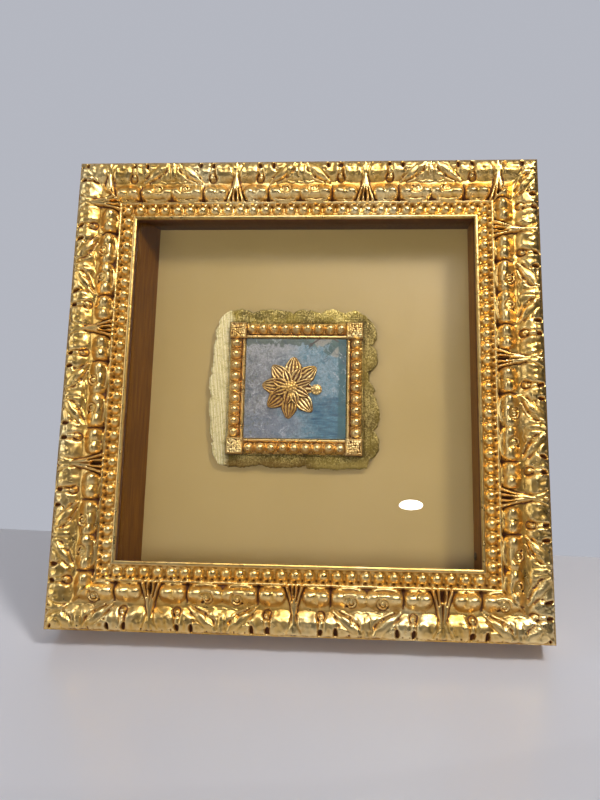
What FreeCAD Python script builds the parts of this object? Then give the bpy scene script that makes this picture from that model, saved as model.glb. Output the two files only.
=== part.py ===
"""Floating frame: a carved and gilded shadow box that holds a small framed textile away from its backing.

Frame: +X to the viewer's right, +Y to the back, +Z up. The origin is the centre of the flat face
that the frame stands on. Depths are measured from the plane of the outer front edge, which lies
half of side_depth in front of the origin. All sizes are in millimetres.
"""

import FreeCAD
import Part

import math
import os

import Sketcher

SIZES = {
    # carved outer frame, four mitred rails of one moulding
    "outer_side": 406.4,
    "rail_width": 55.8,
    "side_depth": 42.0,
    "leaf_band": 19.0,
    "leaf_rise": 6.2,
    "channel": 3.4,
    "channel_rise": 2.6,
    "scroll_band": 15.2,
    "scroll_rise": 7.4,
    "step": 3.4,
    "step_rise": 4.0,
    "bead_cove": 11.2,
    "bead_rise": 2.6,
    "sight_rise": 6.0,
    "lip_back": 2.0,
    "rabbet_lap": 6.6,
    # glass and the boards behind it
    "glass_side": 304.8,
    "glass_thick": 2.5,
    "board_side": 306.8,
    "backing_at": 31.0,
    "backing_thick": 3.0,
    "filler_thick": 5.0,
    "back_thick": 3.0,
    # packing strips between the glass and the backing
    "strip_top": 1.6,
    "strip_bottom": 3.0,
    "strip_right_front": 4.2,
    "strip_right_back": 6.4,
    "strip_left_front": 7.0,
    "strip_left_back": 18.6,
    # floated textile mount
    "mount_x": -5.4,
    "mount_up": 2.1,
    "mount_side": 116.3,
    "riser_side": 104.0,
    "riser_thick": 4.0,
    "brocade_width": 150.6,
    "brocade_height": 143.0,
    "brocade_shift": -2.0,
    "brocade_thick": 0.8,
    "strip_width": 13.0,
    "strip_base": 3.2,
    "strip_fillet_rise": 4.8,
    "mini_fillet": 1.6,
    "corner_side": 13.6,
    "corner_thick": 7.0,
    "corner_bevel": 1.2,
    "bead_radius": 4.6,
    "bead_inset": 5.2,
    "bead_lift": 4.8,
    "bead_count": 9,
    "fragment_gap": 0.25,
    "fragment_board": 2.0,
    "silk_thick": 0.4,
    # flower on the textile
    "flower_x": -3.6,
    "flower_petals": 8,
    "flower_radius": 27.0,
    "flower_half_width": 6.2,
    "flower_hub": 9.0,
    "flower_layer": 2.0,
    "inner_scale": 0.58,
    "knot_radius": 5.4,
    "knot_rise": 3.4,
    "knot_bulge": 0.85,
    # turn buttons
    "button_tail": 5.0,
    "button_reach": 20.0,
    "button_half_width": 4.5,
    "button_thick": 1.6,
    "button_gap": 0.1,
    "button_inset": 9.0,
    "button_hole": 1.7,
    # strap hangers and their rings
    "hanger_height": 284.0,
    "strap_half_width": 6.0,
    "strap_length": 42.0,
    "strap_thick": 1.0,
    "strap_shoulder": 0.9,
    "strap_taper": 2.0,
    "curl_width": 8.0,
    "curl_radius": 2.1,
    "curl_bore": 1.08,
    "pivot_out": 2.6,
    "ring_wire": 1.0,
    "ring_half_width": 7.0,
    "ring_straight": 6.0,
    "ring_corner": 2.0,
    "strap_hole": 1.9,
    "strap_hole_first": 24.0,
    "strap_hole_pitch": 12.0,
    # fasteners and pads
    "screw_head": 3.0,
    "screw_head_rise": 1.9,
    "screw_head_rim": 0.57,
    "screw_head_bulge": 0.3,
    "screw_slot_floor": 1.05,
    "screw_slot_half": 0.45,
    "screw_shank": 1.6,
    "screw_length": 11.0,
    "spacer_screw_head": 3.3,
    "spacer_screw_up": 65.0,
    "spacer_screw_depth": 25.5,
    "nail_leg": 4.2,
    "nail_half_thick": 0.35,
    "nail_depth": 10.0,
    "nail_first": 16.0,
    "nail_pitch": 20.0,
    "pad_radius": 6.0,
    "pad_thick": 2.5,
    "pad_inset": 18.0,
}

doc = FreeCAD.newDocument("floating_frame")


def number(item):
    return item.value if isinstance(item, Measure) else item


class Measure:
    """A size together with the spreadsheet expression that gives it."""

    def __init__(self, value, text):
        self.value = value
        self.text = text

    def joined(self, sign, other, value):
        return Measure(value, "({} {} {})".format(self.text, sign, measured(other).text))

    def __add__(self, other):
        return self.joined("+", other, self.value + number(other))

    def __sub__(self, other):
        return self.joined("-", other, self.value - number(other))

    def __mul__(self, other):
        return self.joined("*", other, self.value * number(other))

    def __truediv__(self, other):
        return self.joined("/", other, self.value / number(other))

    def __radd__(self, other):
        return measured(other) + self

    def __rsub__(self, other):
        return measured(other) - self

    def __neg__(self):
        return self * -1

    def root(self):
        return Measure(math.sqrt(self.value), "sqrt({})".format(self.text))


def measured(item):
    return item if isinstance(item, Measure) else Measure(item, repr(item))


def fill_sheet():
    sheet = doc.addObject("Spreadsheet::Sheet", "Sizes")
    for row, (alias, value) in enumerate(SIZES.items(), start=1):
        sheet.set("A{}".format(row), alias.replace("_", " "))
        sheet.set("B{}".format(row), str(value))
        sheet.setAlias("B{}".format(row), alias)
    doc.recompute()


def size(alias):
    return Measure(SIZES[alias], "Sizes." + alias)


def bind(item, prop, measure):
    """Binds a property to the spreadsheet, unless its value is a constant."""
    if isinstance(measure, Measure):
        item.setExpression(prop, measure.text)


def place(item, x, y, z, axis=(0, 0, 1), degrees=0):
    spin = FreeCAD.Rotation(FreeCAD.Vector(*axis), degrees)
    item.Placement = FreeCAD.Placement(FreeCAD.Vector(number(x), number(y), number(z)), spin)
    for side, measure in zip("xyz", (x, y, z)):
        bind(item, ".Placement.Base." + side, measure)


def new_body(label):
    body = doc.addObject("PartDesign::Body", label)
    body.Label = label
    return body


def datum(body, role):
    return [feature for feature in body.Origin.OriginFeatures if feature.Role == role][0]


def new_sketch(body, name, role):
    sketch = body.newObject("Sketcher::SketchObject", name)
    sketch.AttachmentSupport = [(datum(body, role), "")]
    sketch.MapMode = "FlatFace"
    return sketch


def constrain(sketch, kind, elements, measure):
    index = sketch.addConstraint(Sketcher.Constraint(kind, *elements, number(measure)))
    bind(sketch, "Constraints[{}]".format(index), measure)


def fix_point(sketch, side, end, corner):
    constrain(sketch, "DistanceX", (-1, 1, side, end), corner[0])
    constrain(sketch, "DistanceY", (-1, 1, side, end), corner[1])


def fix_centre(sketch, side, start, end, rise):
    """Fixes an arc between fixed ends by the centre that gives it its rise."""
    across = end[0] - start[0]
    up = end[1] - start[1]
    chord = (across * across + up * up).root()
    offset = (rise * rise / chord - chord / 4) / (rise * 2)
    if abs(up.value) > abs(across.value):
        constrain(sketch, "DistanceX", (-1, 1, side, 3), (start[0] + end[0]) / 2 - up * offset)
    else:
        constrain(sketch, "DistanceY", (-1, 1, side, 3), (start[1] + end[1]) / 2 + across * offset)


def outline(body, name, role, corners, rises=None):
    """A closed sketch through the corners. rises gives the sides that are arcs, and how far each
    bulges to the left of its direction."""
    rises = rises or {}
    corners = [(measured(u), measured(v)) for u, v in corners]
    sketch = new_sketch(body, name, role)
    points = [FreeCAD.Vector(u.value, v.value, 0) for u, v in corners]
    count = len(points)
    for side in range(count):
        start = points[side]
        end = points[(side + 1) % count]
        if side in rises:
            along = (end - start).normalize()
            left = FreeCAD.Vector(-along.y, along.x, 0)
            top = (start + end) * 0.5 + left * number(rises[side])
            sketch.addGeometry(Part.Arc(end, top, start), False)
        else:
            sketch.addGeometry(Part.LineSegment(start, end), False)

    def end_at(side, point):
        return 1 if sketch.Geometry[side].StartPoint.distanceToPoint(point) < 1e-6 else 2

    for side in range(count):
        start = points[side]
        fix_point(sketch, side, end_at(side, start), corners[side])
        following = (side + 1) % count
        end = points[following]
        ends = (side, end_at(side, end), following, end_at(following, end))
        sketch.addConstraint(Sketcher.Constraint("Coincident", *ends))
        if side in rises:
            fix_centre(sketch, side, corners[side], corners[following], rises[side])
    return sketch


def circle(body, name, role, across, up, radius):
    sketch = new_sketch(body, name, role)
    centre = FreeCAD.Vector(number(across), number(up), 0)
    sketch.addGeometry(Part.Circle(centre, FreeCAD.Vector(0, 0, 1), number(radius)), False)
    fix_point(sketch, 0, 3, (across, up))
    constrain(sketch, "Radius", (0,), radius)
    return sketch


def pad(body, name, sketch, length, symmetric=False, backwards=False):
    feature = body.newObject("PartDesign::Pad", name)
    feature.Profile = sketch
    feature.Length = number(length)
    bind(feature, "Length", length)
    feature.SideType = "Symmetric" if symmetric else "One side"
    feature.Reversed = backwards
    return feature


def cut_through(body, name, sketch):
    """A pocket through everything, both ways from the sketch. It has to remove something."""
    doc.recompute()
    before = body.Shape.Volume
    feature = body.newObject("PartDesign::Pocket", name)
    feature.Profile = sketch
    feature.Type = "ThroughAll"
    feature.SideType = "Symmetric"
    doc.recompute()
    if not feature.Shape.Volume < before - 1e-6:
        raise RuntimeError("{} in {} removed nothing".format(name, body.Label))
    return feature


def turned(body, name, sketch):
    """A revolution about the sketch's vertical axis."""
    feature = body.newObject("PartDesign::Revolution", name)
    feature.Profile = sketch
    feature.ReferenceAxis = (sketch, ["V_Axis"])
    feature.Angle = 360
    return feature


def slab(label, low, extent):
    box = doc.addObject("Part::Box", label)
    box.Label = label
    for prop, measure in zip(("Length", "Width", "Height"), extent):
        setattr(box, prop, number(measure))
        bind(box, prop, measure)
    place(box, *low)
    return box


def group(label, members):
    compound = doc.addObject("Part::Compound", label)
    compound.Label = label
    compound.Links = members
    return compound


fill_sheet()

half = size("outer_side") / 2
front = size("side_depth") / -2
back = size("side_depth") / 2
rabbet_from_edge = size("rail_width") - size("rabbet_lap")
rabbet_half = half - rabbet_from_edge
SIDES = {"bottom": 0, "right": -90, "top": 180, "left": 90}


def quarter_turn(item, degrees, centre_x, depth, centre_z, reach):
    """Places a piece drawn for the bottom side on the side that the turn leads to."""
    sine = round(math.sin(math.radians(degrees)))
    cosine = round(math.cos(math.radians(degrees)))
    place(item, centre_x - reach * sine, depth, centre_z - reach * cosine, (0, 1, 0), degrees)


def rail(side, degrees):
    """One mitred length of the moulding, drawn as the bottom rail with its outer face at z = 0."""
    body = new_body("rail_" + side)
    leaf_end = size("leaf_band")
    channel_end = leaf_end + size("channel")
    scroll_end = channel_end + size("scroll_band")
    step_end = scroll_end + size("step")
    cove_end = step_end + size("bead_cove")
    corners = [
        (back, 0),
        (front, 0),
        (front - size("channel_rise"), leaf_end),
        (front - size("channel_rise"), channel_end),
        (front - size("channel_rise"), scroll_end),
        (front - size("step_rise"), scroll_end),
        (front - size("step_rise"), step_end),
        (front - size("step_rise"), cove_end),
        (front - size("sight_rise"), cove_end),
        (front - size("sight_rise"), size("rail_width")),
        (front + size("lip_back"), size("rail_width")),
        (front + size("lip_back"), rabbet_from_edge),
        (back, rabbet_from_edge),
    ]
    rises = {1: size("leaf_rise"), 3: size("scroll_rise"), 6: size("bead_rise")}
    section = outline(body, "section_" + side, "YZ_Plane", corners, rises)
    pad(body, "moulding_" + side, section, size("outer_side"), symmetric=True)
    cut = size("rail_width") + 1
    for hand in (1, -1):
        wedge = [(half * hand, 0), (half * hand, cut), ((half - cut) * hand, cut)]
        name = "{}_{}".format(side, "right" if hand > 0 else "left")
        sketch = outline(body, "mitre_line_" + name, "XZ_Plane", wedge)
        cut_through(body, "mitre_" + name, sketch)
    quarter_turn(body, degrees, 0, 0, half, half)
    return body


def v_nail(name, corner_x, corner_z, degrees, from_corner):
    """A bent steel strip across a mitre, driven in from the back."""
    body = new_body(name)
    leg = size("nail_leg")
    skin = size("nail_half_thick")
    corners = [
        (0, 0),
        (leg, leg),
        (leg - skin, leg + skin),
        (0, skin * 2),
        (skin - leg, leg + skin),
        (-leg, leg),
    ]
    pad(body, name + "_strip", outline(body, name + "_bend", "XZ_Plane", corners), size("nail_depth"))
    inward = from_corner * math.sqrt(0.5)
    x = (half - inward) * corner_x
    z = half + (half - inward) * corner_z
    place(body, x, back, z, (0, 1, 0), degrees)
    return body


def v_nails():
    nails = []
    for corner_x, corner_z, degrees in ((1, 1, 225), (1, -1, 315), (-1, -1, 45), (-1, 1, 135)):
        for step in range(2):
            along = size("nail_first") + size("nail_pitch") * step
            name = "v_nail_{}".format(len(nails) + 1)
            nails.append(v_nail(name, corner_x, corner_z, degrees, along))
    return group("corner_v_nails", nails)


def glass_and_boards():
    glass = size("glass_side")
    board = size("board_side")
    filler_at = size("backing_at") + size("backing_thick")
    board_at = filler_at + size("filler_thick")
    for label, side, depth, thick in (
        ("glazing", glass, size("lip_back"), size("glass_thick")),
        ("backing_panel", board, size("backing_at"), size("backing_thick")),
        ("filler_board", board, filler_at, size("filler_thick")),
        ("back_board", board, board_at, size("back_thick")),
    ):
        slab(label, (side / -2, front + depth, half - side / 2), (side, thick, side))


def packing_strip(label, length, thick_front, thick_back, degrees, shift):
    """A strip against the rabbet wall, drawn for the bottom side. shift moves it along its side."""
    body = new_body(label)
    near = front + size("lip_back") + size("glass_thick")
    far = front + size("backing_at")
    corners = [(far, 0), (near, 0), (near, thick_front), (far, thick_back)]
    section = outline(body, label + "_section", "YZ_Plane", corners)
    pad(body, label + "_length", section, length, symmetric=True)
    quarter_turn(body, degrees, 0, 0, half + shift, rabbet_half)


def packing_strips():
    top = size("strip_top")
    bottom = size("strip_bottom")
    packing_strip("spacer_bottom", rabbet_half * 2, bottom, bottom, SIDES["bottom"], 0)
    packing_strip("spacer_top", rabbet_half * 2, top, top, SIDES["top"], 0)
    upright = rabbet_half * 2 - top - bottom
    shift = (bottom - top) / 2
    right = (size("strip_right_front"), size("strip_right_back"))
    left = (size("strip_left_front"), size("strip_left_back"))
    packing_strip("spacer_right", upright, right[0], right[1], SIDES["right"], shift)
    packing_strip("spacer_left", upright, left[0], left[1], SIDES["left"], shift)


def screw(name, head):
    """A round-headed slotted screw along Y, its head towards +Y and its seat at y = 0."""
    body = new_body(name)
    shank = size("screw_shank")
    rise = size("screw_head_rise")
    length = size("screw_length")
    corners = [
        (0, rise),
        (head, size("screw_head_rim")),
        (head, 0),
        (shank, 0),
        (shank, shank * 2 - length),
        (0, -length),
    ]
    half_section = outline(body, name + "_profile", "XY_Plane", corners, {0: size("screw_head_bulge")})
    turned(body, name + "_turned", half_section)
    floor = size("screw_slot_floor")
    wide = size("screw_slot_half")
    slot = [(floor, -wide), (rise * 2, -wide), (rise * 2, wide), (floor, wide)]
    cut_through(body, name + "_slot", outline(body, name + "_slot_line", "YZ_Plane", slot))
    return body


def spacer_screw():
    """The one screw whose head shows, low on the right-hand packing strip, pointing outwards."""
    body = screw("spacer_screw", size("spacer_screw_head"))
    slope = (size("strip_right_back") - size("strip_right_front")) / (
        size("backing_at") - size("lip_back") - size("glass_thick")
    )
    along = size("spacer_screw_depth") - size("lip_back") - size("glass_thick")
    thick = size("strip_right_front") + slope * along
    place(
        body,
        rabbet_half - thick,
        front + size("spacer_screw_depth"),
        size("spacer_screw_up"),
        (0, 0, 1),
        90,
    )


mount_z = half + size("mount_up")
riser_at = size("backing_at") - size("riser_thick")
brocade_at = riser_at - size("brocade_thick")
fragment_at = brocade_at - size("fragment_board")
silk_at = fragment_at - size("silk_thick")


def textile_boards():
    """Riser, brocade, and the board and silk inside the small gilt frame."""
    inside = size("mount_side") - size("corner_side") * 2 - size("fragment_gap") * 2
    brocade_low = mount_z - size("brocade_height") / 2
    brocade_left = size("mount_x") + size("brocade_shift") - size("brocade_width") / 2
    brocade = (size("brocade_width"), size("brocade_thick"), size("brocade_height"))
    slab("brocade_border", (brocade_left, front + brocade_at, brocade_low), brocade)
    for label, side, depth, thick in (
        ("float_riser", size("riser_side"), riser_at, size("riser_thick")),
        ("fragment_board", inside, fragment_at, size("fragment_board")),
        ("silk_fragment", inside, silk_at, size("silk_thick")),
    ):
        low = (size("mount_x") - side / 2, front + depth, mount_z - side / 2)
        slab(label, low, (side, thick, side))


def mini_rail(side, degrees):
    """A beaded strip of the small frame, drawn for the bottom side with its outer edge at z = 0."""
    body = new_body("mini_rail_" + side)
    length = size("mount_side") - size("corner_side") * 2
    width = size("strip_width")
    base = size("strip_base")
    corners = [
        (0, 0),
        (-base, 0),
        (-base, width - size("mini_fillet")),
        (-size("strip_fillet_rise"), width - size("mini_fillet")),
        (-size("strip_fillet_rise"), width),
        (0, width),
    ]
    section = outline(body, "mini_section_" + side, "YZ_Plane", corners)
    pad(body, "mini_strip_" + side, section, length, symmetric=True)
    pitch = length / size("bead_count")
    radius = size("bead_radius")
    first = (pitch - length) / 2
    bead = body.newObject("PartDesign::AdditiveSphere", "bead_" + side)
    bead.Radius = radius.value
    bind(bead, "Radius", radius)
    bead.AttachmentSupport = [(datum(body, "XZ_Plane"), "")]
    bead.MapMode = "FlatFace"
    for axis, measure in (("x", first), ("y", size("bead_inset")), ("z", size("bead_lift"))):
        bind(bead, ".AttachmentOffset.Base." + axis, measure)
    doc.recompute()
    row = body.newObject("PartDesign::LinearPattern", "beads_" + side)
    row.Originals = [bead]
    row.Direction = (datum(body, "X_Axis"), [""])
    row.Length = number(length - pitch)
    bind(row, "Length", length - pitch)
    row.Occurrences = int(size("bead_count").value)
    bind(row, "Occurrences", size("bead_count"))
    body.Tip = row
    reach = size("mount_side") / 2
    quarter_turn(body, degrees, size("mount_x"), front + brocade_at, mount_z, reach)


def mini_corner(label, hand_x, hand_z):
    """A square block with bevelled front edges between two beaded strips."""
    body = new_body(label)
    side = size("corner_side")
    low = side / -2
    high = side / 2
    corners = [(low, low), (high, low), (high, high), (low, high)]
    sketch = outline(body, label + "_square", "XZ_Plane", corners)
    block = pad(body, label + "_block", sketch, size("corner_thick"))
    doc.recompute()
    face_at = -size("corner_thick").value
    edges = [
        "Edge{}".format(index)
        for index, edge in enumerate(block.Shape.Edges, start=1)
        if all(abs(vertex.Point.y - face_at) < 1e-6 for vertex in edge.Vertexes)
    ]
    bevel = body.newObject("PartDesign::Chamfer", label + "_bevel")
    bevel.Base = (block, edges)
    bevel.Size = size("corner_bevel").value
    bind(bevel, "Size", size("corner_bevel"))
    reach = (size("mount_side") - side) / 2
    x = size("mount_x") + reach * hand_x
    place(body, x, front + brocade_at, mount_z + reach * hand_z)


def petals(label, radius, half_width, hub, depth):
    """A ring of pointed petals round a hub, with its back at the stated depth."""
    body = new_body(label)
    sides = {0: half_width, 1: half_width}
    blade = outline(body, label + "_petal_line", "XZ_Plane", [(0, 0), (0, radius)], sides)
    petal = pad(body, label + "_petal", blade, size("flower_layer"))
    doc.recompute()
    ring = body.newObject("PartDesign::PolarPattern", label + "_ring")
    ring.Originals = [petal]
    ring.Axis = (blade, ["N_Axis"])
    ring.Angle = 360
    ring.Occurrences = int(size("flower_petals").value)
    bind(ring, "Occurrences", size("flower_petals"))
    body.Tip = ring
    doc.recompute()
    disc = circle(body, label + "_hub_line", "XZ_Plane", 0, 0, hub)
    pad(body, label + "_hub", disc, size("flower_layer"))
    place(body, size("mount_x") + size("flower_x"), front + depth, mount_z)


def flower():
    radius = size("flower_radius")
    half_width = size("flower_half_width")
    hub = size("flower_hub")
    inner = size("inner_scale")
    layer = size("flower_layer")
    petals("flower_outer_petals", radius, half_width, hub, silk_at)
    petals("flower_inner_petals", radius * inner, half_width * inner, hub * inner, silk_at - layer)
    knot = new_body("flower_knot")
    spread = size("knot_radius")
    rise = size("knot_rise")
    corners = [(0, 0), (spread, 0), (0, -rise)]
    profile = outline(knot, "knot_profile", "XY_Plane", corners, {1: size("knot_bulge")})
    turned(knot, "knot_turned", profile)
    depth = front + silk_at - layer * 2
    place(knot, size("mount_x") + size("flower_x"), depth, mount_z)


def turn_button(side, degrees):
    """A flat catch that turns on its screw and holds the back board in."""
    body = new_body("turn_button_" + side)
    wide = size("button_half_width")
    tail = wide - size("button_tail")
    reach = size("button_reach") - wide
    corners = [(wide, tail), (-wide, tail), (-wide, reach), (wide, reach)]
    ends = {0: wide, 2: wide}
    plate = outline(body, "button_line_" + side, "XZ_Plane", corners, ends)
    pad(body, "button_plate_" + side, plate, size("button_thick"))
    hole = circle(body, "button_hole_line_" + side, "XZ_Plane", 0, 0, size("button_hole"))
    cut_through(body, "button_hole_" + side, hole)
    depth = back + size("button_gap") + size("button_thick")
    reach_out = rabbet_half + size("button_inset")
    quarter_turn(body, degrees, 0, depth, half, reach_out)


def turn_button_screws():
    screws = []
    seat = back + size("button_gap") * 2 + size("button_thick")
    reach_out = rabbet_half + size("button_inset")
    for side, degrees in SIDES.items():
        body = screw("button_screw_" + side, size("screw_head"))
        quarter_turn(body, degrees, 0, seat, half, reach_out)
        screws.append(body)
    group("turn_button_screws", screws)


hanger_from_edge = rabbet_from_edge / 2


def hanger_strap(side, hand):
    """A steel strap with a rolled eye at its top, which the ring swings in."""
    body = new_body("hanger_strap_" + side)
    wide = size("strap_half_width")
    neck = size("curl_width") / 2
    length = size("strap_length")
    shoulder = -size("strap_shoulder")
    taper_end = shoulder + size("strap_taper")
    corners = [
        (-neck, 0),
        (-neck, taper_end),
        (-wide, shoulder),
        (-wide, -length),
        (wide, -length),
        (wide, shoulder),
        (neck, taper_end),
        (neck, 0),
    ]
    plate = outline(body, "strap_line_" + side, "XZ_Plane", corners)
    pad(body, "strap_plate_" + side, plate, size("strap_thick"), backwards=True)
    pivot = size("pivot_out")
    eye = circle(body, "curl_line_" + side, "YZ_Plane", pivot, 0, size("curl_radius"))
    pad(body, "curl_" + side, eye, size("curl_width"), symmetric=True)
    bore = circle(body, "bore_line_" + side, "YZ_Plane", pivot, 0, size("curl_bore"))
    cut_through(body, "bore_" + side, bore)
    for step in range(2):
        drop = size("strap_hole_first") + size("strap_hole_pitch") * step
        name = "strap_hole_{}_{}".format(side, step + 1)
        hole = circle(body, name + "_line", "XZ_Plane", 0, -drop, size("strap_hole"))
        cut_through(body, name, hole)
    place(body, (half - hanger_from_edge) * hand, back, size("hanger_height"))


def hanger_ring(side, hand):
    """A wire D, hanging from its straight side."""
    body = new_body("hanger_ring_" + side)
    wide = size("ring_half_width")
    corner = size("ring_corner")
    drop = -size("ring_straight")
    bend = corner * (1 - math.sqrt(0.5))
    corners = [
        (0, 0),
        (wide - corner, 0),
        (wide, -corner),
        (wide, drop),
        (-wide, drop),
        (-wide, -corner),
        (corner - wide, 0),
    ]
    rises = {1: bend, 3: wide, 5: bend}
    path = outline(body, "ring_path_" + side, "XZ_Plane", corners, rises)
    wire = circle(body, "ring_wire_" + side, "YZ_Plane", 0, 0, size("ring_wire"))
    doc.recompute()
    sweep = body.newObject("PartDesign::AdditivePipe", "ring_sweep_" + side)
    sweep.Profile = wire
    sweep.Spine = path
    depth = back + size("pivot_out")
    place(body, (half - hanger_from_edge) * hand, depth, size("hanger_height"))


def hanger_screws():
    screws = []
    for side, hand in (("left", -1), ("right", 1)):
        for step in range(2):
            drop = size("strap_hole_first") + size("strap_hole_pitch") * step
            body = screw("hanger_screw_{}_{}".format(side, step + 1), size("screw_head"))
            x = (half - hanger_from_edge) * hand
            place(body, x, back + size("strap_thick"), size("hanger_height") - drop)
            screws.append(body)
    group("hanger_screws", screws)


def bumper_pads():
    pads = []
    for side, hand in (("left", -1), ("right", 1)):
        disc = doc.addObject("Part::Cylinder", "bumper_" + side)
        disc.Radius = size("pad_radius").value
        bind(disc, "Radius", size("pad_radius"))
        disc.Height = size("pad_thick").value
        bind(disc, "Height", size("pad_thick"))
        x = (half - size("pad_inset")) * hand
        place(disc, x, back + size("pad_thick"), size("pad_inset"), (1, 0, 0), 90)
        pads.append(disc)
    group("bumper_pads", pads)


def build_all():
    for side, degrees in SIDES.items():
        rail(side, degrees)
        mini_rail(side, degrees)
        turn_button(side, degrees)
    v_nails()
    glass_and_boards()
    packing_strips()
    spacer_screw()
    textile_boards()
    for label, hand_x, hand_z in (
        ("mini_corner_top_left", -1, 1),
        ("mini_corner_top_right", 1, 1),
        ("mini_corner_bottom_left", -1, -1),
        ("mini_corner_bottom_right", 1, -1),
    ):
        mini_corner(label, hand_x, hand_z)
    flower()
    turn_button_screws()
    for side, hand in (("left", -1), ("right", 1)):
        hanger_strap(side, hand)
        hanger_ring(side, hand)
    hanger_screws()
    bumper_pads()
    doc.recompute()


def write_parts():
    """Writes each sub-part that isn't a member of a group, after testing every object."""
    for item in doc.Objects:
        if "Invalid" in item.State or "Error" in item.State:
            raise RuntimeError("{} is {}".format(item.Label, item.State))
    kinds = ("PartDesign::Body", "Part::Box", "Part::Compound")
    grouped = [member.Name for item in doc.Objects for member in getattr(item, "Links", [])]
    os.makedirs("parts", exist_ok=True)
    for item in doc.Objects:
        if item.TypeId not in kinds or item.Name in grouped:
            continue
        shape = item.Shape
        if shape.isNull() or not shape.isValid():
            raise RuntimeError("{} has no valid shape".format(item.Label))
        shape.exportStep("parts/{}.step".format(item.Label))
        print("{:28s} solids {:d} volume {:10.1f}".format(item.Label, len(shape.Solids), shape.Volume))


build_all()
write_parts()
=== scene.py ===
import math

import bmesh
import bpy
import numpy as np
from mathutils import Matrix, Vector


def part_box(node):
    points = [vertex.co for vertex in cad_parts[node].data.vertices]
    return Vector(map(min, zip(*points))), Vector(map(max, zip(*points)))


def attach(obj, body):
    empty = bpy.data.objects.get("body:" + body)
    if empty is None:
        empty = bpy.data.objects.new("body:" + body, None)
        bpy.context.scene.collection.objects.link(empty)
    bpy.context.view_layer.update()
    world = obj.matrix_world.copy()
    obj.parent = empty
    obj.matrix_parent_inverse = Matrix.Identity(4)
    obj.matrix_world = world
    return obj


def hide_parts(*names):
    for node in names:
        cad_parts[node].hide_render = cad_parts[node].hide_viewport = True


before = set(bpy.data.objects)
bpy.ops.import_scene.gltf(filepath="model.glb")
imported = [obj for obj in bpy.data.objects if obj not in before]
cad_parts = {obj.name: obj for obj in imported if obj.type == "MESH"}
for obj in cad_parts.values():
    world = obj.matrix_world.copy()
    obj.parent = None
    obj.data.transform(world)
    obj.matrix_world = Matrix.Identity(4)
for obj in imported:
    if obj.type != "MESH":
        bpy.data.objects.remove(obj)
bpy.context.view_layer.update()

MM = 0.001
FULL = 2 * math.pi


def box_mm(node):
    """A node's lowest and highest corners, in mm."""
    return [[round(value / MM, 3) for value in corner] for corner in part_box(node)]


# The frame's own sizes, in mm. Every mesh here is made in mm and scaled once, when it is built.
rail_high = box_mm("rail_bottom")[1]
HALF = rail_high[0]  # half of the outer side
SIDE_Y = rail_high[1]  # half of the rails' depth
FACE = rail_high[2]  # width of a rail's face
mount_low, mount_inner = box_mm("mini_corner_bottom_left")
mount_high = box_mm("mini_corner_top_right")[1]
MOUNT_X = (mount_low[0] + mount_high[0]) / 2
MOUNT_Z = (mount_low[2] + mount_high[2]) / 2
MOUNT_HALF = (mount_high[0] - mount_low[0]) / 2
CORNER = mount_inner[0] - mount_low[0]  # side of a corner block
BROCADE_Y, BROCADE_BACK = (corner[1] for corner in box_mm("brocade_border"))
silk_low, silk_high = box_mm("silk_fragment")
SILK_Y, SILK_BACK = silk_low[1], silk_high[1]
SILK_HALF = (silk_high[0] - silk_low[0]) / 2
FLOWER_X = -9  # the flower sits a little left of the silk's middle
FLOWER_Z = MOUNT_Z + 0.4

# ---- camera and stage

camera_data = bpy.data.cameras.new("camera")
camera_data.lens = 31.2
camera_data.sensor_width = 36
camera_data.clip_start = 0.01
camera = bpy.data.objects.new("camera", camera_data)
bpy.context.collection.objects.link(camera)
look = Vector((-0.061, 0.983, 0.172)).normalized()
across = look.cross(Vector((-0.0115, -0.1727, 0.9849))).normalized()
camera.matrix_world = Matrix.Translation((0.0359, -0.5933, 0.0906)) @ Matrix(
    (across, across.cross(look), -look)
).transposed().to_4x4()
bpy.context.scene.camera = camera
bpy.context.scene.view_settings.view_transform = "Standard"

LEAN = math.radians(22)
floor_along = Vector((0, math.cos(LEAN), math.sin(LEAN)))
floor_up = Vector((0, -math.sin(LEAN), math.cos(LEAN)))
floor_contact = Vector((0, SIDE_Y * MM, 0))


def on_floor(x, along, up=0):
    """A point of the room, in the row frame: the frame leans back, so the floor slopes here."""
    return floor_contact + Vector((x, 0, 0)) + floor_along * along + floor_up * up


def new_object(name, mesh, materials):
    for material in materials:
        mesh.materials.append(material)
    item = bpy.data.objects.new(name, mesh)
    bpy.context.collection.objects.link(item)
    return item


def as_points(x, y, z):
    return np.stack([x, y, z], axis=-1).reshape(-1, 3)


def new_piece(name, points, faces, materials, cavity=None, kinds=None, sharp=None, welded=False):
    """A smooth closed object from points in mm, with its faces turned outwards."""
    mesh = bpy.data.meshes.new(name)
    mesh.from_pydata((points * MM).tolist(), [], faces)
    if cavity is not None:
        layer = mesh.attributes.new("cavity", "FLOAT", "POINT")
        layer.data.foreach_set("value", cavity.astype(np.float32))
    item = new_object(name, mesh, materials)
    if kinds is not None:
        mesh.polygons.foreach_set("material_index", kinds)
    mesh.shade_smooth()
    made = bmesh.new()
    made.from_mesh(mesh)
    if welded:
        bmesh.ops.remove_doubles(made, verts=made.verts, dist=1e-6)
        bmesh.ops.dissolve_degenerate(made, edges=made.edges, dist=1e-7)
    bmesh.ops.recalc_face_normals(made, faces=made.faces)
    made.to_mesh(mesh)
    made.free()
    if sharp is not None:
        mesh.set_sharp_from_angle(angle=math.radians(sharp))
    return item


def stands_for(item, node):
    """Puts a piece on the frame, in the place of a CAD node."""
    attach(item, "frame")
    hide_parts(node)


# ---- materials


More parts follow.
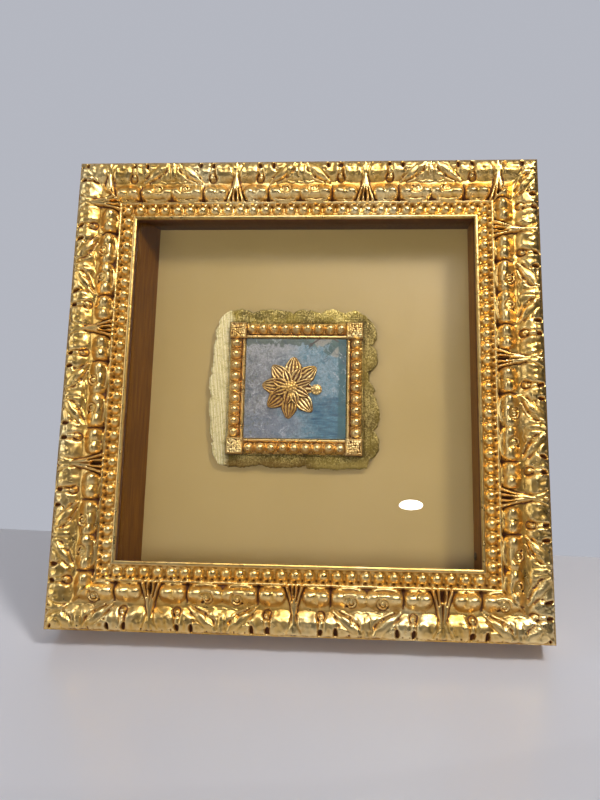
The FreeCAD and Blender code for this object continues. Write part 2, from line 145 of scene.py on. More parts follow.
class Nodes:
    """Short ways to add nodes to a node tree."""

    def __init__(self, tree):
        self.tree = tree
        self.tree.nodes.clear()

    def node(self, kind, values=None, **settings):
        made = self.tree.nodes.new("ShaderNode" + kind)
        for key, value in settings.items():
            setattr(made, key, value)
        for key, value in (values or {}).items():
            socket = made.inputs[key]
            if isinstance(value, bpy.types.NodeSocket):
                self.tree.links.new(value, socket)
            elif socket.type == "RGBA":
                socket.default_value = (*value, 1)
            else:
                socket.default_value = value
        return made

    def span(self, value, low, high, to_low=0, to_high=1):
        values = {"Value": value, 1: low, 2: high, 3: to_low, 4: to_high}
        return self.node("MapRange", values, clamp=True).outputs[0]

    def math(self, kind, a, b):
        return self.node("Math", {0: a, 1: b}, operation=kind).outputs[0]

    def times(self, a, b):
        return self.math("MULTIPLY", a, b)

    def plus(self, a, b, share=None):
        return self.math("ADD", a, b if share is None else self.times(b, share))

    def minus(self, a, b):
        return self.math("SUBTRACT", a, b)

    def ramp(self, value, *stops):
        """Colours by value, from stops of a place and a colour."""
        made = self.node("ValToRGB", {0: value})
        steps = made.color_ramp.elements
        while len(steps) < len(stops):
            steps.new(0.5)
        for step, (at, colour) in zip(steps, stops):
            step.position = at
            step.color = (*colour, 1)
        return made.outputs[0]


class Shader(Nodes):
    """One procedural material, textured by the object's own coordinates."""

    def __init__(self, name):
        self.material = bpy.data.materials.new(name)
        self.material.use_nodes = True
        super().__init__(self.material.node_tree)
        self.place = self.node("TexCoord").outputs["Object"]

    def scaled(self, scale):
        return self.node("Mapping", {"Vector": self.place, "Scale": scale}).outputs[0]

    def noise(self, scale, detail=3, rough=0.5, place=None, bend=0):
        values = {"Vector": place or self.place, "Scale": scale, "Detail": detail}
        values |= {"Roughness": rough, "Distortion": bend}
        return self.node("TexNoise", values).outputs["Fac"]

    def woven(self, low, high):
        """Weft and warp threads, as one height."""
        weft = self.noise(1, 2, 0.5, self.scaled((low, low, high)))
        return self.plus(weft, self.noise(1, 2, 0.5, self.scaled((high, low, low))))

    def cells(self, scale, place=None, feature="F1", spread=1):
        values = {"Vector": place or self.place, "Scale": scale, "Randomness": spread}
        return self.node("TexVoronoi", values, feature=feature).outputs["Distance"]

    def wave(self, scale, place, bend, axis="X", shape="SIN"):
        values = {"Vector": place, "Scale": scale, "Distortion": bend, "Detail Scale": 1.5}
        made = self.node("TexWave", values, bands_direction=axis, wave_profile=shape)
        return made.outputs["Fac"]

    def mix(self, factor, a, b, share=None):
        """Fades from colour a to colour b. share, when given, is the most that b may cover."""
        if share is not None:
            factor = self.times(factor, share)
        return self.node("Mix", {0: factor, 6: a, 7: b}, data_type="RGBA").outputs[2]

    def axis(self, name):
        return self.node("SeparateXYZ", {0: self.place}).outputs[name]

    def attribute(self, name):
        return self.node("Attribute", attribute_name=name).outputs["Fac"]

    def bump(self, height, strength, distance, below=None):
        values = {"Height": height, "Strength": strength, "Distance": distance}
        if below:
            values["Normal"] = below
        return self.node("Bump", values).outputs[0]

    def finished(self, shader):
        self.node("OutputMaterial", {"Surface": shader.outputs[0]})
        return self.material

    def surface(self, colour, **settings):
        values = {name.replace("_", " "): value for name, value in settings.items()}
        return self.finished(self.node("BsdfPrincipled", {"Base Color": colour, **values}))


def gilding(name, worn=0, rough=0, tint=(0.92, 0.59, 0.17), hollow=0):
    """Leaf gold over red clay, with painted shade in its hollows and a painted highlight on its
    ridges, both from the cavity attribute. worn lets more of the clay show where the leaf is rubbed;
    hollow is added to the cavity.
    """
    s = Shader(name)
    patches = s.noise(38, 4, 0.6)
    leaf = s.mix(s.span(patches, 0.35, 0.65), tint, (0.8, 0.48, 0.115))
    leaf = s.mix(s.span(s.noise(16, 2), 0.52, 0.74), leaf, (0.95, 0.74, 0.36))
    cavity = s.plus(s.attribute("cavity"), hollow)
    speckle = s.noise(420, 5, 0.65)
    # painted shade: dark clay in the deepest hollows, where the cavity is highest
    deep_shade = s.span(s.plus(cavity, speckle, 0.35), 0.82, 1.02)
    # painted shade: a brown mix over the leaf in hollows, by the cavity
    hollow_shade = s.span(s.plus(s.times(cavity, 0.9), s.noise(60, 3)), 0.84, 1.2)
    # painted highlight: cream on ridges, where the cavity is low
    high = s.span(s.plus(cavity, speckle, 0.2), 0.52, 0.3)
    rubbed = s.span(s.minus(speckle, 0.08 - worn), 0.6, 0.66)
    warm = s.mix(hollow_shade, leaf, (0.42, 0.2, 0.025))
    warm = s.mix(high, warm, (0.98, 0.78, 0.42), 0.35)
    clay = s.mix(s.noise(90, 2), (0.15, 0.045, 0.012), (0.04, 0.016, 0.008))
    # clay shows where the leaf is rubbed (wear) and as painted shade in the deepest hollows
    wear_and_deep_shade = s.math("MAXIMUM", deep_shade, s.times(rubbed, 0.4 + worn))
    colour = s.mix(wear_and_deep_shade, warm, clay)
    metal = s.times(s.span(wear_and_deep_shade, 0.2, 0.8, 1, 0.15), s.span(hollow_shade, 0, 1, 1, 0.6))
    roughness = s.span(s.noise(150, 4, 0.7), 0.3, 0.7, 0.24 + rough, 0.4 + rough)
    roughness = s.plus(roughness, wear_and_deep_shade, 0.3)
    crinkle = s.noise(900, 3, 0.6, bend=0.6)
    grain = s.bump(crinkle, 0.14, 0.0002)
    dents = s.bump(s.noise(170, 3, 0.55, bend=0.4), 0.45, 0.0006, grain)
    return s.surface(colour, Metallic=metal, Roughness=roughness, Normal=dents)


gold = gilding("gilding_carved")
gold_side = gilding("gilding_side", 0.05, 0.08, (0.8, 0.46, 0.1))


def raw_wood(name, dark, light, rough=0.6):
    s = Shader(name)
    rings = s.wave(18, s.scaled((1, 0.35, 0.35)), 5, "Y", "SAW")
    fibre = s.noise(1, 5, 0.7, s.scaled((60, 900, 900)))
    colour = s.mix(s.span(fibre, 0.3, 0.7), dark, light)
    colour = s.mix(rings, colour, dark, 0.25)
    height = s.bump(fibre, 0.35, 0.0004)
    return s.surface(colour, Roughness=rough, Normal=height)


back_wood = raw_wood("ochre_wash_wood", (0.16, 0.075, 0.022), (0.34, 0.19, 0.075))


def floor_material():
    s = Shader("floor_paint")
    colour = s.mix(s.noise(6, 3), (0.68, 0.685, 0.755), (0.7, 0.705, 0.78))
    grain = s.bump(s.noise(300, 3), 0.05, 0.0005)
    return s.surface(colour, Roughness=0.28, Specular_IOR_Level=0.6, Normal=grain)


FLOOR_FRONT = -2.2  # m from the frame's foot
FLOOR_THICK = 0.02
floor_points = []
for x, rear in ((-1.6, 0.27), (1.6, 0.085)):
    for depth in (0, -FLOOR_THICK):
        floor_points += [on_floor(x, FLOOR_FRONT, depth), on_floor(x, rear, depth)]
floor_faces = [(0, 4, 5, 1), (1, 5, 7, 3), (2, 3, 7, 6), (0, 2, 6, 4), (0, 1, 3, 2), (4, 6, 7, 5)]
floor_mesh = bpy.data.meshes.new("floor")
floor_mesh.from_pydata(floor_points, [], floor_faces)
new_object("floor", floor_mesh, [floor_material()])

# The camera sees one even sky. Diffuse light from it is dim. Reflections see it brighter above, behind
# the frame and to the left.
world = bpy.data.worlds.new("studio")
world.use_nodes = True
bpy.context.scene.world = world
sky = Nodes(world.node_tree)
rays = sky.node("LightPath").outputs
way = sky.node("SeparateXYZ", {0: sky.node("TexCoord").outputs["Generated"]}).outputs
level = sky.times(sky.span(way["X"], -0.6, 0.6, 1.2, 0.24), sky.span(way["Y"], 0.2, 0.8, 0.3, 1))
tones = [(at, (grey, grey * 0.99, grey)) for at, grey in ((0, 0.22), (0.35, 0.5), (0.85, 0.95))]
bright = sky.node("Background", {0: sky.ramp(way["Z"], *tones), 1: level}).outputs[0]
soft = sky.node("Background", {0: (0.66, 0.66, 0.7), 1: 0.14}).outputs[0]
seen = sky.node("Background", {0: (0.46, 0.475, 0.53), 1: 1}).outputs[0]
lit = sky.node("MixShader", {0: rays["Is Glossy Ray"], 1: soft, 2: bright}).outputs[0]
shown = sky.node("MixShader", {0: rays["Is Camera Ray"], 1: lit, 2: seen}).outputs[0]
sky.node("OutputWorld", {"Surface": shown})


def lamp(name, where, aim, size, power, colour, shape="RECTANGLE", hidden=()):
    """An area lamp turned towards aim. hidden names the kinds of ray that don't see it."""
    data = bpy.data.lights.new(name, "AREA")
    data.shape = shape
    data.size, data.size_y = size
    data.energy = power
    data.color = colour
    item = bpy.data.objects.new(name, data)
    item.location = where
    item.rotation_euler = (Vector(aim) - Vector(where)).to_track_quat("-Z", "Y").to_euler()
    for ray in hidden:
        setattr(item, "visible_" + ray, False)
    bpy.context.collection.objects.link(item)


middle = Vector((0, 0, 0.2))
key_at = middle + Vector((0.495, -0.654, 0.566)) * 1.7
key_colour = (1, 0.965, 0.9)
ceiling_at = on_floor(0.35, -0.75, 2)
ceiling_size = (1.5, 1)
ceiling_colour = (1, 0.98, 0.95)
no_shine = ("glossy", "transmission")
lamp("key", key_at, middle, (0.34, 0.34), 11.5, key_colour, "DISK")
lamp("ceiling", ceiling_at, middle, ceiling_size, 21, ceiling_colour, hidden=("diffuse",))
lamp("ceiling_soft", ceiling_at, middle, ceiling_size, 8, ceiling_colour, hidden=no_shine)
lamp("key_soft", key_at, middle, (0.22, 0.22), 3.2, key_colour, "DISK", no_shine)
lamp("left_window", on_floor(-1.7, -0.8, 0.9), middle, (0.7, 1.3), 7, (0.9, 0.95, 1))
front_at = on_floor(-0.5, -1.8, 0.4)
lamp("front_fill", front_at, on_floor(0, 0), (2, 0.7), 19, (0.95, 0.96, 1), hidden=no_shine)
rear_at = on_floor(0, 1.5, 0.5)
rear_hidden = ("camera", *no_shine)
lamp("rear_fill", rear_at, middle, (1.6, 0.8), 9, (1, 0.98, 0.96), hidden=rear_hidden)
glint_at = (0.211, -1.213, 0.1365)
glint_aim = (0.0927, -0.019, 0.1055)
lamp("glint", glint_at, glint_aim, (0.058, 0.024), 0.3, (1, 1, 1), "ELLIPSE")

# ---- carved relief


def ease(low, high, value):
    t = np.clip((value - low) / (high - low), 0, 1)
    return t * t * (3 - 2 * t)


def lattice(x, y, cell, seed):
    """Smooth value noise from -1 to 1 on a grid of the given cell."""
    table = np.random.default_rng(seed).uniform(-1, 1, (257, 257))
    u, v = x / cell + 1000, y / cell + 1000
    i, j = np.floor(u).astype(int), np.floor(v).astype(int)
    a, b = ease(0, 1, u - i), ease(0, 1, v - j)
    i, j = i % 256, j % 256
    top = table[i, j] * (1 - a) + table[i + 1, j] * a
    low = table[i, j + 1] * (1 - a) + table[i + 1, j + 1] * a
    return top * (1 - b) + low * b


def path_distance(x, y, path):
    """Each point's distance to a polyline, and the share of the line passed at the nearest place."""
    best = np.full(x.shape, 1e9)
    along = np.zeros(x.shape)
    run = 0
    for (ax, ay), (bx, by) in zip(path[:-1], path[1:]):
        dx, dy = bx - ax, by - ay
        length = math.hypot(dx, dy)
        t = np.clip(((x - ax) * dx + (y - ay) * dy) / max(length * length, 1e-9), 0, 1)
        d = np.hypot(x - ax - t * dx, y - ay - t * dy)
        nearer = d < best
        best = np.where(nearer, d, best)
        along = np.where(nearer, run + t * length, along)
        run += length
    return best, along / max(run, 1e-9)


OUTSIDE = -99  # a height that no carving reaches


class Relief:
    """Heights, in mm, on a grid: s runs along the piece and w across it."""

    def __init__(self, s, w, height):
        self.s = s
        self.w = w
        self.h = height

    def window(self, low_s, high_s, low_w, high_w):
        """The rows and columns of the grid that hold a box."""
        rows = (self.w[:, 0] >= low_w) & (self.w[:, 0] <= high_w)
        inside = (self.s >= low_s) & (self.s <= high_s) & rows[:, None]
        return np.ix_(rows, inside.any(axis=0))

    def around(self, cs, cw, rs, rw, turn, reach):
        """The window about a turned oval, and both places in it as shares of the oval's radii."""
        at = self.window(cs - reach, cs + reach, cw - reach, cw + reach)
        x, y = self.s[at] - cs, self.w[at] - cw
        cos, sin = math.cos(turn), math.sin(turn)
        return at, (x * cos + y * sin) / rs, (y * cos - x * sin) / rw

    def beside(self, path, reach):
        """The window about a line, and path_distance there."""
        path = np.array(path)
        low, high = path.min(axis=0) - reach, path.max(axis=0) + reach
        at = self.window(low[0], high[0], low[1], high[1])
        return at, *path_distance(self.s[at], self.w[at], path)

    def dome(self, cs, cw, rs, rw, peak, ground=0, turn=0, power=2, spoon=0, edge=0.45):
        """A rounded boss. spoon hollows its middle and lifts its rim."""
        at, u, v = self.around(cs, cw, rs, rw, turn, max(rs, rw))
        rho = (np.abs(u) ** power + np.abs(v) ** power) ** (1 / power)
        top = peak - spoon * (1 - rho**2)
        fall = np.sqrt(np.clip(1 - np.clip((rho - 1 + edge) / edge, 0, 1) ** 2, 0, 1))
        value = np.where(rho < 1, ground + (top - ground) * fall, OUTSIDE)
        self.h[at] = np.maximum(self.h[at], value)

    def ridge(self, path, radius, peak, ground=0, end_radius=None, end_peak=None):
        """A round bead of metal or gesso along a line, which may taper."""
        at, d, t = self.beside(path, max(radius, end_radius or 0))
        r = radius + (((radius if end_radius is None else end_radius) - radius) * t)
        top = peak + (((peak if end_peak is None else end_peak) - peak) * t)
        value = ground + (top - ground) * np.sqrt(np.clip(1 - (d / r) ** 2, 0, 1))
        self.h[at] = np.maximum(self.h[at], np.where(d < r, value, OUTSIDE))

    def groove(self, path, width, depth):
        at, d, _ = self.beside(path, width * 3)
        self.h[at] -= depth * np.exp(-((d / width) ** 2))

    def hole(self, cs, cw, rs, rw, depth, turn=0):
        at, u, v = self.around(cs, cw, rs, rw, turn, max(rs, rw) * 1.3)
        self.h[at] -= depth * (1 - ease(0.7, 1.25, np.hypot(u, v)))


def spiral(cs, cw, start, turns, outer, inner, hand, steps=46):
    """Points of a curl that closes in from one radius to another."""
    t = np.linspace(0, 1, steps)
    angle = start + hand * t * turns * FULL
    r = outer + (inner - outer) * t**0.85
    return np.stack([cs + r * np.cos(angle), cw + r * np.sin(angle)], axis=-1)


def blurred(field, size):
    """A box blur by running sums, twice along each axis, which is close to a soft blur."""
    width = 2 * size + 1
    for _ in range(4):
        sums = np.cumsum(np.pad(field, ((size + 1, size), (0, 0)), mode="edge"), axis=0)
        field = ((sums[width:] - sums[:-width]) / width).T
    return field


# Heights of the moulding at w mm from the outer edge: leaves, channel, scrolls, step, beads, fillet.
# The carving's bosses rise from GROUND towards ENVELOPE.
ENVELOPE = (
    (0, 3), (1.2, 4.2), (4, 6), (8, 7.4), (12, 7.4), (15.5, 6.2), (18, 4.6),
    (20, 3.4), (22, 3.4), (24.5, 5.2), (27, 7.8), (29.5, 9.8), (32, 10.8), (34.5, 10.4),
    (37, 8), (38.8, 4.4),
)
GROUND = (
    (0, 0.6), (1.5, 2), (4, 3.6), (8, 4.8), (12, 4.6), (15.5, 3.8), (18, 3),
    (20.4, 2.4), (22.6, 2.6), (25.4, 3.6), (28, 4.8), (31, 5.8), (34.5, 5.6), (37.6, 3.4),
    (38.6, 2.2), (39, 4.2), (39.9, 4.2), (40.2, 5.2), (41.2, 5.2), (41.7, 3), (44, 2.6),
    (49, 2.7), (52, 3.4), (52.7, 5.4), (53.2, 6), (55, 6), (55.8, 5.4),
)


def table_curve(table, w):
    return np.interp(w, *zip(*table))


DRAWN_PITCH = 115.6  # mm between two darts, as the carving below is drawn


def drawing_tools(start, pitch, hand, rng):
    """Places, lines and small random shifts on half a repeat. hand -1 mirrors it from the far end."""
    zero = start if hand == 1 else start + pitch
    k = pitch / DRAWN_PITCH

    def at(a):
        return zero + hand * a * k

    def line(*points):
        return [(at(a), w) for a, w in points]

    def jitter(amount):
        return rng.uniform(-amount, amount)

    return at, line, jitter


# Bosses of half a repeat, above the ground as a share of the envelope: a and w of the middle, half
# length and width, peak, turn, power, spoon, edge, and how far a, w and the peak may shift.
BOSSES = (
    # outer band: spoon leaves, rolled leaf and half of the fan
    (10.2, 9.6, 10.8, 11.6, 1.06, 0.16, 2.3, 0.3, 0.55, 0.6, 0, 0.05),
    (27.6, 9, 7.8, 10.8, 1.04, -0.2, 2.3, 0.24, 0.6, 0.6, 0, 0.05),
    (38.4, 4, 6.4, 6, 1, 0.5, 2.4, 0.3, 0.4, 0, 0, 0),
    (40.5, 13.6, 8.6, 5, 0.86, -0.72, 2.4, 0.25, 0.5, 0, 0, 0),
    (52, 9.2, 8.4, 11.4, 1.04, -0.16, 2.3, 0.3, 0.5, 0, 0, 0),
    # inner band: a long boss with two swellings, then the arch of the scroll
    (18, 31.4, 10.4, 8.4, 0.86, 0.05, 2.6, 0, 0.9, 0, 0, 0),
    (12.8, 31.6, 5.6, 7.2, 1.06, 0.15, 2.2, 0, 1, 0, 0.3, 0),
    (23, 31.8, 6.2, 7.4, 1.14, -0.15, 2.2, 0, 1, 0, 0.3, 0),
    (43.8, 31.2, 14.4, 8.8, 0.84, 0, 2.6, 0, 0.9, 0, 0, 0),
    (36, 32, 6.6, 7.2, 1.08, -0.3, 2.2, 0, 1, 0, 0, 0),
    (45, 34, 8.2, 5.2, 0.98, 0, 2.2, 0, 1, 0, 0, 0),
    (53, 31.8, 5.8, 7.4, 1.12, 0.3, 2.2, 0, 1, 0, 0, 0),
)


def carve_bosses(r, start, pitch, rng):
    """One repeat of the running leaf pattern between two darts, mirrored about its middle."""
    for hand in (1, -1):
        at, _, jitter = drawing_tools(start, pitch, hand, rng)
        for a, w, rs, rw, peak, turn, power, spoon, edge, *shifts in BOSSES:
            slip_a, slip_w, slip_peak = (jitter(shift) if shift else 0 for shift in shifts)
            place = (at(a + slip_a), w + slip_w)
            r.dome(*place, rs, rw, peak + slip_peak, 0, turn * hand, power, spoon, edge)


def carve_half(r, at, line, jitter, hand):
    """The raised lines and drilled eyes of half a repeat, over the bands."""
    # dart: a stem that opens in four blades towards the sight edge
    r.ridge(line((0.4, 13), (2.2, 23), (4.2, 31), (6.6, 38.8)), 1.4, 6.4, 2.4, 1.6, 8.6)
    r.ridge(line((0.2, 13.5), (0.8, 23), (1.5, 31), (2.3, 38.8)), 1.2, 6.6, 2.4, 1.3, 9)
    r.ridge(line((0, 3.6), (0.3, 8), (0.2, 16)), 2.2, 7, 0.5, 1.5, 6.6)
    r.ridge(line((0.8, 9), (3.4, 4.2), (7, 1.8)), 1.6, 7, 0.8, 1.1, 4.8)
    r.hole(at(0), 34, 1.4, 3.8, 3.2)
    r.groove(line((2.4, 28), (4.5, 38)), 0.55, 1.7)
    r.groove(line((3.6, 24), (8.2, 37.6)), 0.6, 1.9)
    # rims of the bosses and of the scroll's arch
    boss = line((7.8, 32), (9.2, 35.8), (12.4, 38), (17.6, 38.8), (23.6, 38.2))
    r.ridge(boss + line((27.6, 35.6), (28.9, 31)), 1.3, 5.6, 2.2)
    arch = line((29.9, 31), (31.4, 35.2), (35.6, 38.2), (43.6, 39), (51.8, 38.2))
    r.ridge(arch + line((56.2, 35.2), (57.7, 31)), 1.5, 6.6, 2.2)
    curl = spiral(at(45.6 + jitter(0.5)), 28.2 + jitter(0.3), 2.4, 1.45, 4.8, 1.1, -hand)
    r.groove(curl, 1.3, 2.4)
    r.ridge(curl, 1.1, 8.4, 3.5, 0.9, 8.6)
    r.dome(at(45.6), 28.2, 1.6, 1.6, 8.8, 3.2, 0, 2, 0, 0.9)
    r.hole(at(42.6), 25.4, 1.9, 0.9, 2.4, 0.5 * hand)
    r.groove(line((17.4, 29), (17.7, 33), (17.2, 37.6)), 1.2, 0.8)
    r.groove(line((29.4, 24.5), (29.4, 38.5)), 0.9, 1.8)
    r.hole(at(29.4), 38, 1.5, 1.6, 1.8)
    # knob on its stalk, between the two spoon leaves
    r.groove(line((19.6, 17), (19.9, 6)), 0.7, 1.4)
    r.groove(line((24.4, 18), (23.6, 6)), 0.7, 1.4)
    r.ridge(line((21.6, 16.8), (22, 10), (21.8, 5)), 1.4, 6.4, 0.8, 0.9, 6)
    r.groove(spiral(at(21.6), 17, -1.2, 1, 3.6, 3.2, hand, 18), 0.7, 1.6)
    r.ridge(spiral(at(21.6), 16.4, -1.2, 1.1, 2.5, 0.8, hand, 18), 0.95, 5.6, 0.9, 0.7, 5)
    r.hole(at(21.2), 16.2, 0.9, 0.9, 1.6)
    r.hole(at(21.6 + jitter(0.6)), 4.4 + jitter(0.5), 1.5, 3.1 + jitter(0.5), 7, jitter(0.25))
    r.hole(at(33.8 + jitter(0.6)), 4.7 + jitter(0.5), 1.4, 3.6 + jitter(0.5), 7, jitter(0.25))
    # creases of the leaves
    for a0, a1 in ((6.4, 8.4), (14.8, 13)):
        r.groove(line((a0, 0.6), ((a0 + a1) / 2, 5), (a1, 10)), 1.3, 0.5)
    r.groove(line((28.4, 0.6), (28.4, 7)), 1.2, 0.5)
    r.groove(line((2.6, 17), (3.6, 10), (6.4, 3.4)), 0.8, 1.3)
    # rolled leaf, with the hatched hollow beside it
    r.groove(line((33, 16.6), (41, 9.6), (47.4, 5.2)), 0.9, 1.8)
    r.dome(at(44.6), 10.6, 11.6, 5.4, 7.4, 1.4, -0.72 * hand, 2.2, 0.5, 0.9)
    roll = line((31.6, 20.8), (35.2, 17.2), (40.4, 14.2), (46.4, 11.6), (51, 7.6), (52.4, 3.6))
    r.ridge(roll, 1.3, 4.6, 0.9, 2.1, 7.4)
    r.groove(line((36.6, 20.6), (42.4, 17.2), (47.8, 14.4), (52, 10.4)), 0.9, 1.6)
    r.ridge(line((37.6, 21), (43.6, 18.6), (49, 16.2)), 1, 3.6, 0.8, 1, 4.8)
    for step in range(4):
        a = 44.4 + step * 1.9
        r.groove(line((a, 15.8 - step * 1.25), (a + 2, 11.6 - step * 1.1)), 0.5, 1.5)
    # fan leaf in the middle of the repeat
    r.ridge(line((46.6, 19.6), (50.4, 20.9), (53.6, 19.7), (57.8, 20.6)), 1.1, 3.4, 0.6)
    r.groove(line((50.2, 16), (52, 10), (52.8, 3.4)), 0.8, 0.7)
    r.ridge(line((57.8, 17), (57.8, 3)), 1.3, 4.6, 1.8, 1.7, 7.2)
    r.groove(line((55.4, 16), (55, 6)), 0.7, 0.9)


def carve_lines(r, start, pitch, rng):
    """The lines of both halves of a repeat, then ragged leaf tips along its outer edge."""
    for hand in (1, -1):
        at, line, jitter = drawing_tools(start, pitch, hand, rng)
        carve_half(r, at, line, jitter, hand)
    tip = start
    while tip < start + pitch:
        tip += rng.uniform(5.5, 13)
        r.groove([(tip, -0.5), (tip + jitter(0.5), 1.8 + jitter(0.8))], 0.6, 1 + jitter(0.4))
        if rng.uniform() < 0.45:
            r.hole(tip + 1.6, 2.4 + jitter(0.6), 0.7, 1.1 + jitter(0.3), 2)


BEADS = 14  # on each side of a rail's middle
BEAD_STEP = (HALF - 46.6) / BEADS


def carve_beads(r):
    """The beads by the sight edge, each with a pip beside it, two legs and three drilled eyes."""
    for k in range(-BEADS, BEADS + 1):
        at = k * BEAD_STEP
        r.dome(at, 47.8, 4.8, 4.7, 7.4, 1.9, 0, 2, 0, 0.99)
        r.dome(at + BEAD_STEP / 2, 51.4, 2.7, 2.2, 4.6, 1.6, 0, 1.4, 0, 0.9)
        for hand in (-1, 1):
            leg = [(at + hand * 1.5, 46), (at + hand * 2.6, 42.4)]
            r.ridge(leg, 1.2, 5.4, 1.8, 1, 4.2)
            r.hole(at + hand * 5.1, 43.6, 0.8, 1.3, 1.5)
        r.hole(at, 43.2, 0.9, 1.2, 1.4)


# Where the darts stand along each rail, in mm from its middle.
RAIL_DARTS = {
    "top": (-174.2, -60.2, 53.8, 168.8),
    "bottom": (-116.2, -1.2, 116.8),
    "left": (-185.6, -68.4, 47.3, 164.1),
    "right": (-90.5, 24, 136.8),
}
RAIL_COLUMNS = 720
RAIL_ROWS = 101  # over the face; the rows after them go down the sight edge and round the back
BACK_ROWS = slice(RAIL_ROWS + 3, RAIL_ROWS + 7)
SIDE_ROWS = slice(RAIL_ROWS + 7, -1)
LEAVES_END = 38.8  # w where the leaves and scrolls end
RABBET_W = 49.2
RABBET_Y = 2 - SIDE_Y
EDGE_W = (0, 0.5, 1.8)  # the plain thin edge outside the leaves
EDGE_HEIGHT = (0.9, 1.9, 1.7)
PLAIN_CAVITY = 0.45


def square_place(side, s, w, half):
    """x and z from a square's middle, for a point s along one side and w in from its outer edge."""
    if side in ("bottom", "top"):
        return s, (w - half if side == "bottom" else half - w)
    return (w - half if side == "left" else half - w), s


def carved_face(side, s, w, seed):
    """Heights of a rail's face on the grid s and w: the carving, and the plain band under it."""
    rng = np.random.default_rng(seed)
    darts = list(RAIL_DARTS[side])
    pitch = (darts[-1] - darts[0]) / (len(darts) - 1)
    starts = [darts[0] - pitch] + darts
    lumps = Relief(s, w, np.zeros(s.shape))
    for start in starts:
        carve_bosses(lumps, start, pitch, rng)
    ground = table_curve(GROUND, w)
    rise = np.where(w < LEAVES_END, np.maximum(table_curve(ENVELOPE, w) - ground, 0), 0)
    wavy = 0.75 * lattice(s, w, 6, seed) + 0.3 * lattice(s, w, 2.8, seed + 1)
    waviness = np.where(w < 38, np.interp(w, (0, 17, 21, 26, 38), (1, 1, 0.3, 0.7, 0.5)), 0.1)
    carving = Relief(s, w, ground + np.clip(lumps.h, 0, 1.25) * rise + wavy * waviness)
    for start in starts:
        carve_lines(carving, start, pitch, rng)
    carve_beads(carving)
    return carving.h, ground + 0.75 * rise


def carved_rail(side, seed):
    """A whole rail: a tube of rows round its section, closed by a flat face at each mitre."""
    across_w = np.linspace(0, FACE, RAIL_ROWS)
    t = np.linspace(-1, 1, RAIL_COLUMNS)
    s = t[None, :] * (HALF - across_w[:, None])
    w = np.repeat(across_w[:, None], RAIL_COLUMNS, axis=1)
    carved, plain = carved_face(side, s, w, seed)
    near_mitre = HALF - w - np.abs(s)
    keep = ease(0, 2.6, near_mitre)
    bead_rows = (w > 41.4) & (w < 52.2)
    raw = np.where(bead_rows, carved, plain * (1 - keep) + carved * keep)
    edge = ease(1, 2.3, w + 0.5 * lattice(s, w * 0, 3, seed + 4))
    raw = np.clip(raw, -0.6, 12.4) * edge + (1 - edge) * np.interp(w, EDGE_W, EDGE_HEIGHT)
    height = raw * 0.5 + blurred(raw, 1) * 0.5
    # cavity: high in hollows and low on ridges; the gilding paints shade and highlight from it
    hollow = blurred(height, 3) - height + 0.9 * (blurred(raw, 1) - raw)
    cavity = np.clip(0.4 + hollow * np.where(bead_rows, 0.16, 0.3), 0, 1)
    notch = 0.16 * (1 - ease(0.4, 3.4, carved[3])) * keep[0]

    # each row: w, y and cavity, as one number or one for every column
    face_w = across_w[:, None] + notch * (1 - ease(0, 5, across_w[:, None]))
    rows = list(zip(face_w, -SIDE_Y - height, cavity))
    lip = rows[-1][1]
    # rows down the sight edge's lip into the rabbet: their cavity rises as they go in, which paints
    # shade on the lip
    for share, lip_shade in ((0.18, 0.55), (0.4, 0.8), (0.46, 1.15), (1, 1.35)):
        rows.append((FACE, lip * (1 - share) + RABBET_Y * share, lip_shade))
    back = ((RABBET_W, RABBET_Y), (RABBET_W, SIDE_Y), (32, SIDE_Y), (16, SIDE_Y))
    rows += [(w_at, y_at, PLAIN_CAVITY) for w_at, y_at in back]
    for y_at in (SIDE_Y, 14, 5, -4, -12, -17, -19.4):
        wave = 0.18 * lattice(t * HALF, t * 0 + y_at, 14, seed + 2)
        out = notch * ease(14, 21, -y_at) + np.where(y_at < SIDE_Y, np.maximum(wave, 0), 0)
        rows.append((np.where(near_mitre[0] > 0.5, out, 0) * keep[0], y_at, PLAIN_CAVITY))
    even = [[np.broadcast_to(value, RAIL_COLUMNS) for value in row] for row in rows]
    row_w, row_y, row_cavity = np.array(even).swapaxes(0, 1)

    x, z = square_place(side, t[None, :] * (HALF - row_w), row_w, HALF)
    index = np.arange(row_w.size).reshape(row_w.shape)
    below = np.roll(index, -1, axis=0)
    quads = np.stack([index[:, :-1], below[:, :-1], below[:, 1:], index[:, 1:]], axis=-1)
    if side == "bottom":
        quads = quads[..., ::-1]  # so that they are split along the other diagonal
    faces = quads.reshape(-1, 4).tolist() + [index[:, 0].tolist(), index[::-1, -1].tolist()]
    row_kind = np.zeros(len(rows))
    row_kind[BACK_ROWS] = 2
    row_kind[SIDE_ROWS] = 1
    kinds = np.zeros(len(faces), dtype=np.int32)
    kinds[:-2] = np.repeat(row_kind, RAIL_COLUMNS - 1)
    points = as_points(x, row_y, z + HALF)
    materials = [gold, gold_side, back_wood]
    name = "rail_" + side
    item = new_piece(name + "_carved", points, faces, materials, row_cavity.reshape(-1), kinds, 62)
    stands_for(item, name)


SIDES = ("bottom", "right", "top", "left")
for number, side in enumerate(SIDES):
    carved_rail(side, 11 + 7 * number)

# ---- inside the box


def rim_of(grid):
    """The values round the outside of a grid, once each."""
    return np.concatenate([grid[0, :-1], grid[:-1, -1], grid[-1, :0:-1], grid[:0:-1, 0]])


def grid_faces(index):
    quads = np.stack([index[:-1, :-1], index[1:, :-1], index[1:, 1:], index[:-1, 1:]], axis=-1)
    return quads.reshape(-1, 4).tolist()


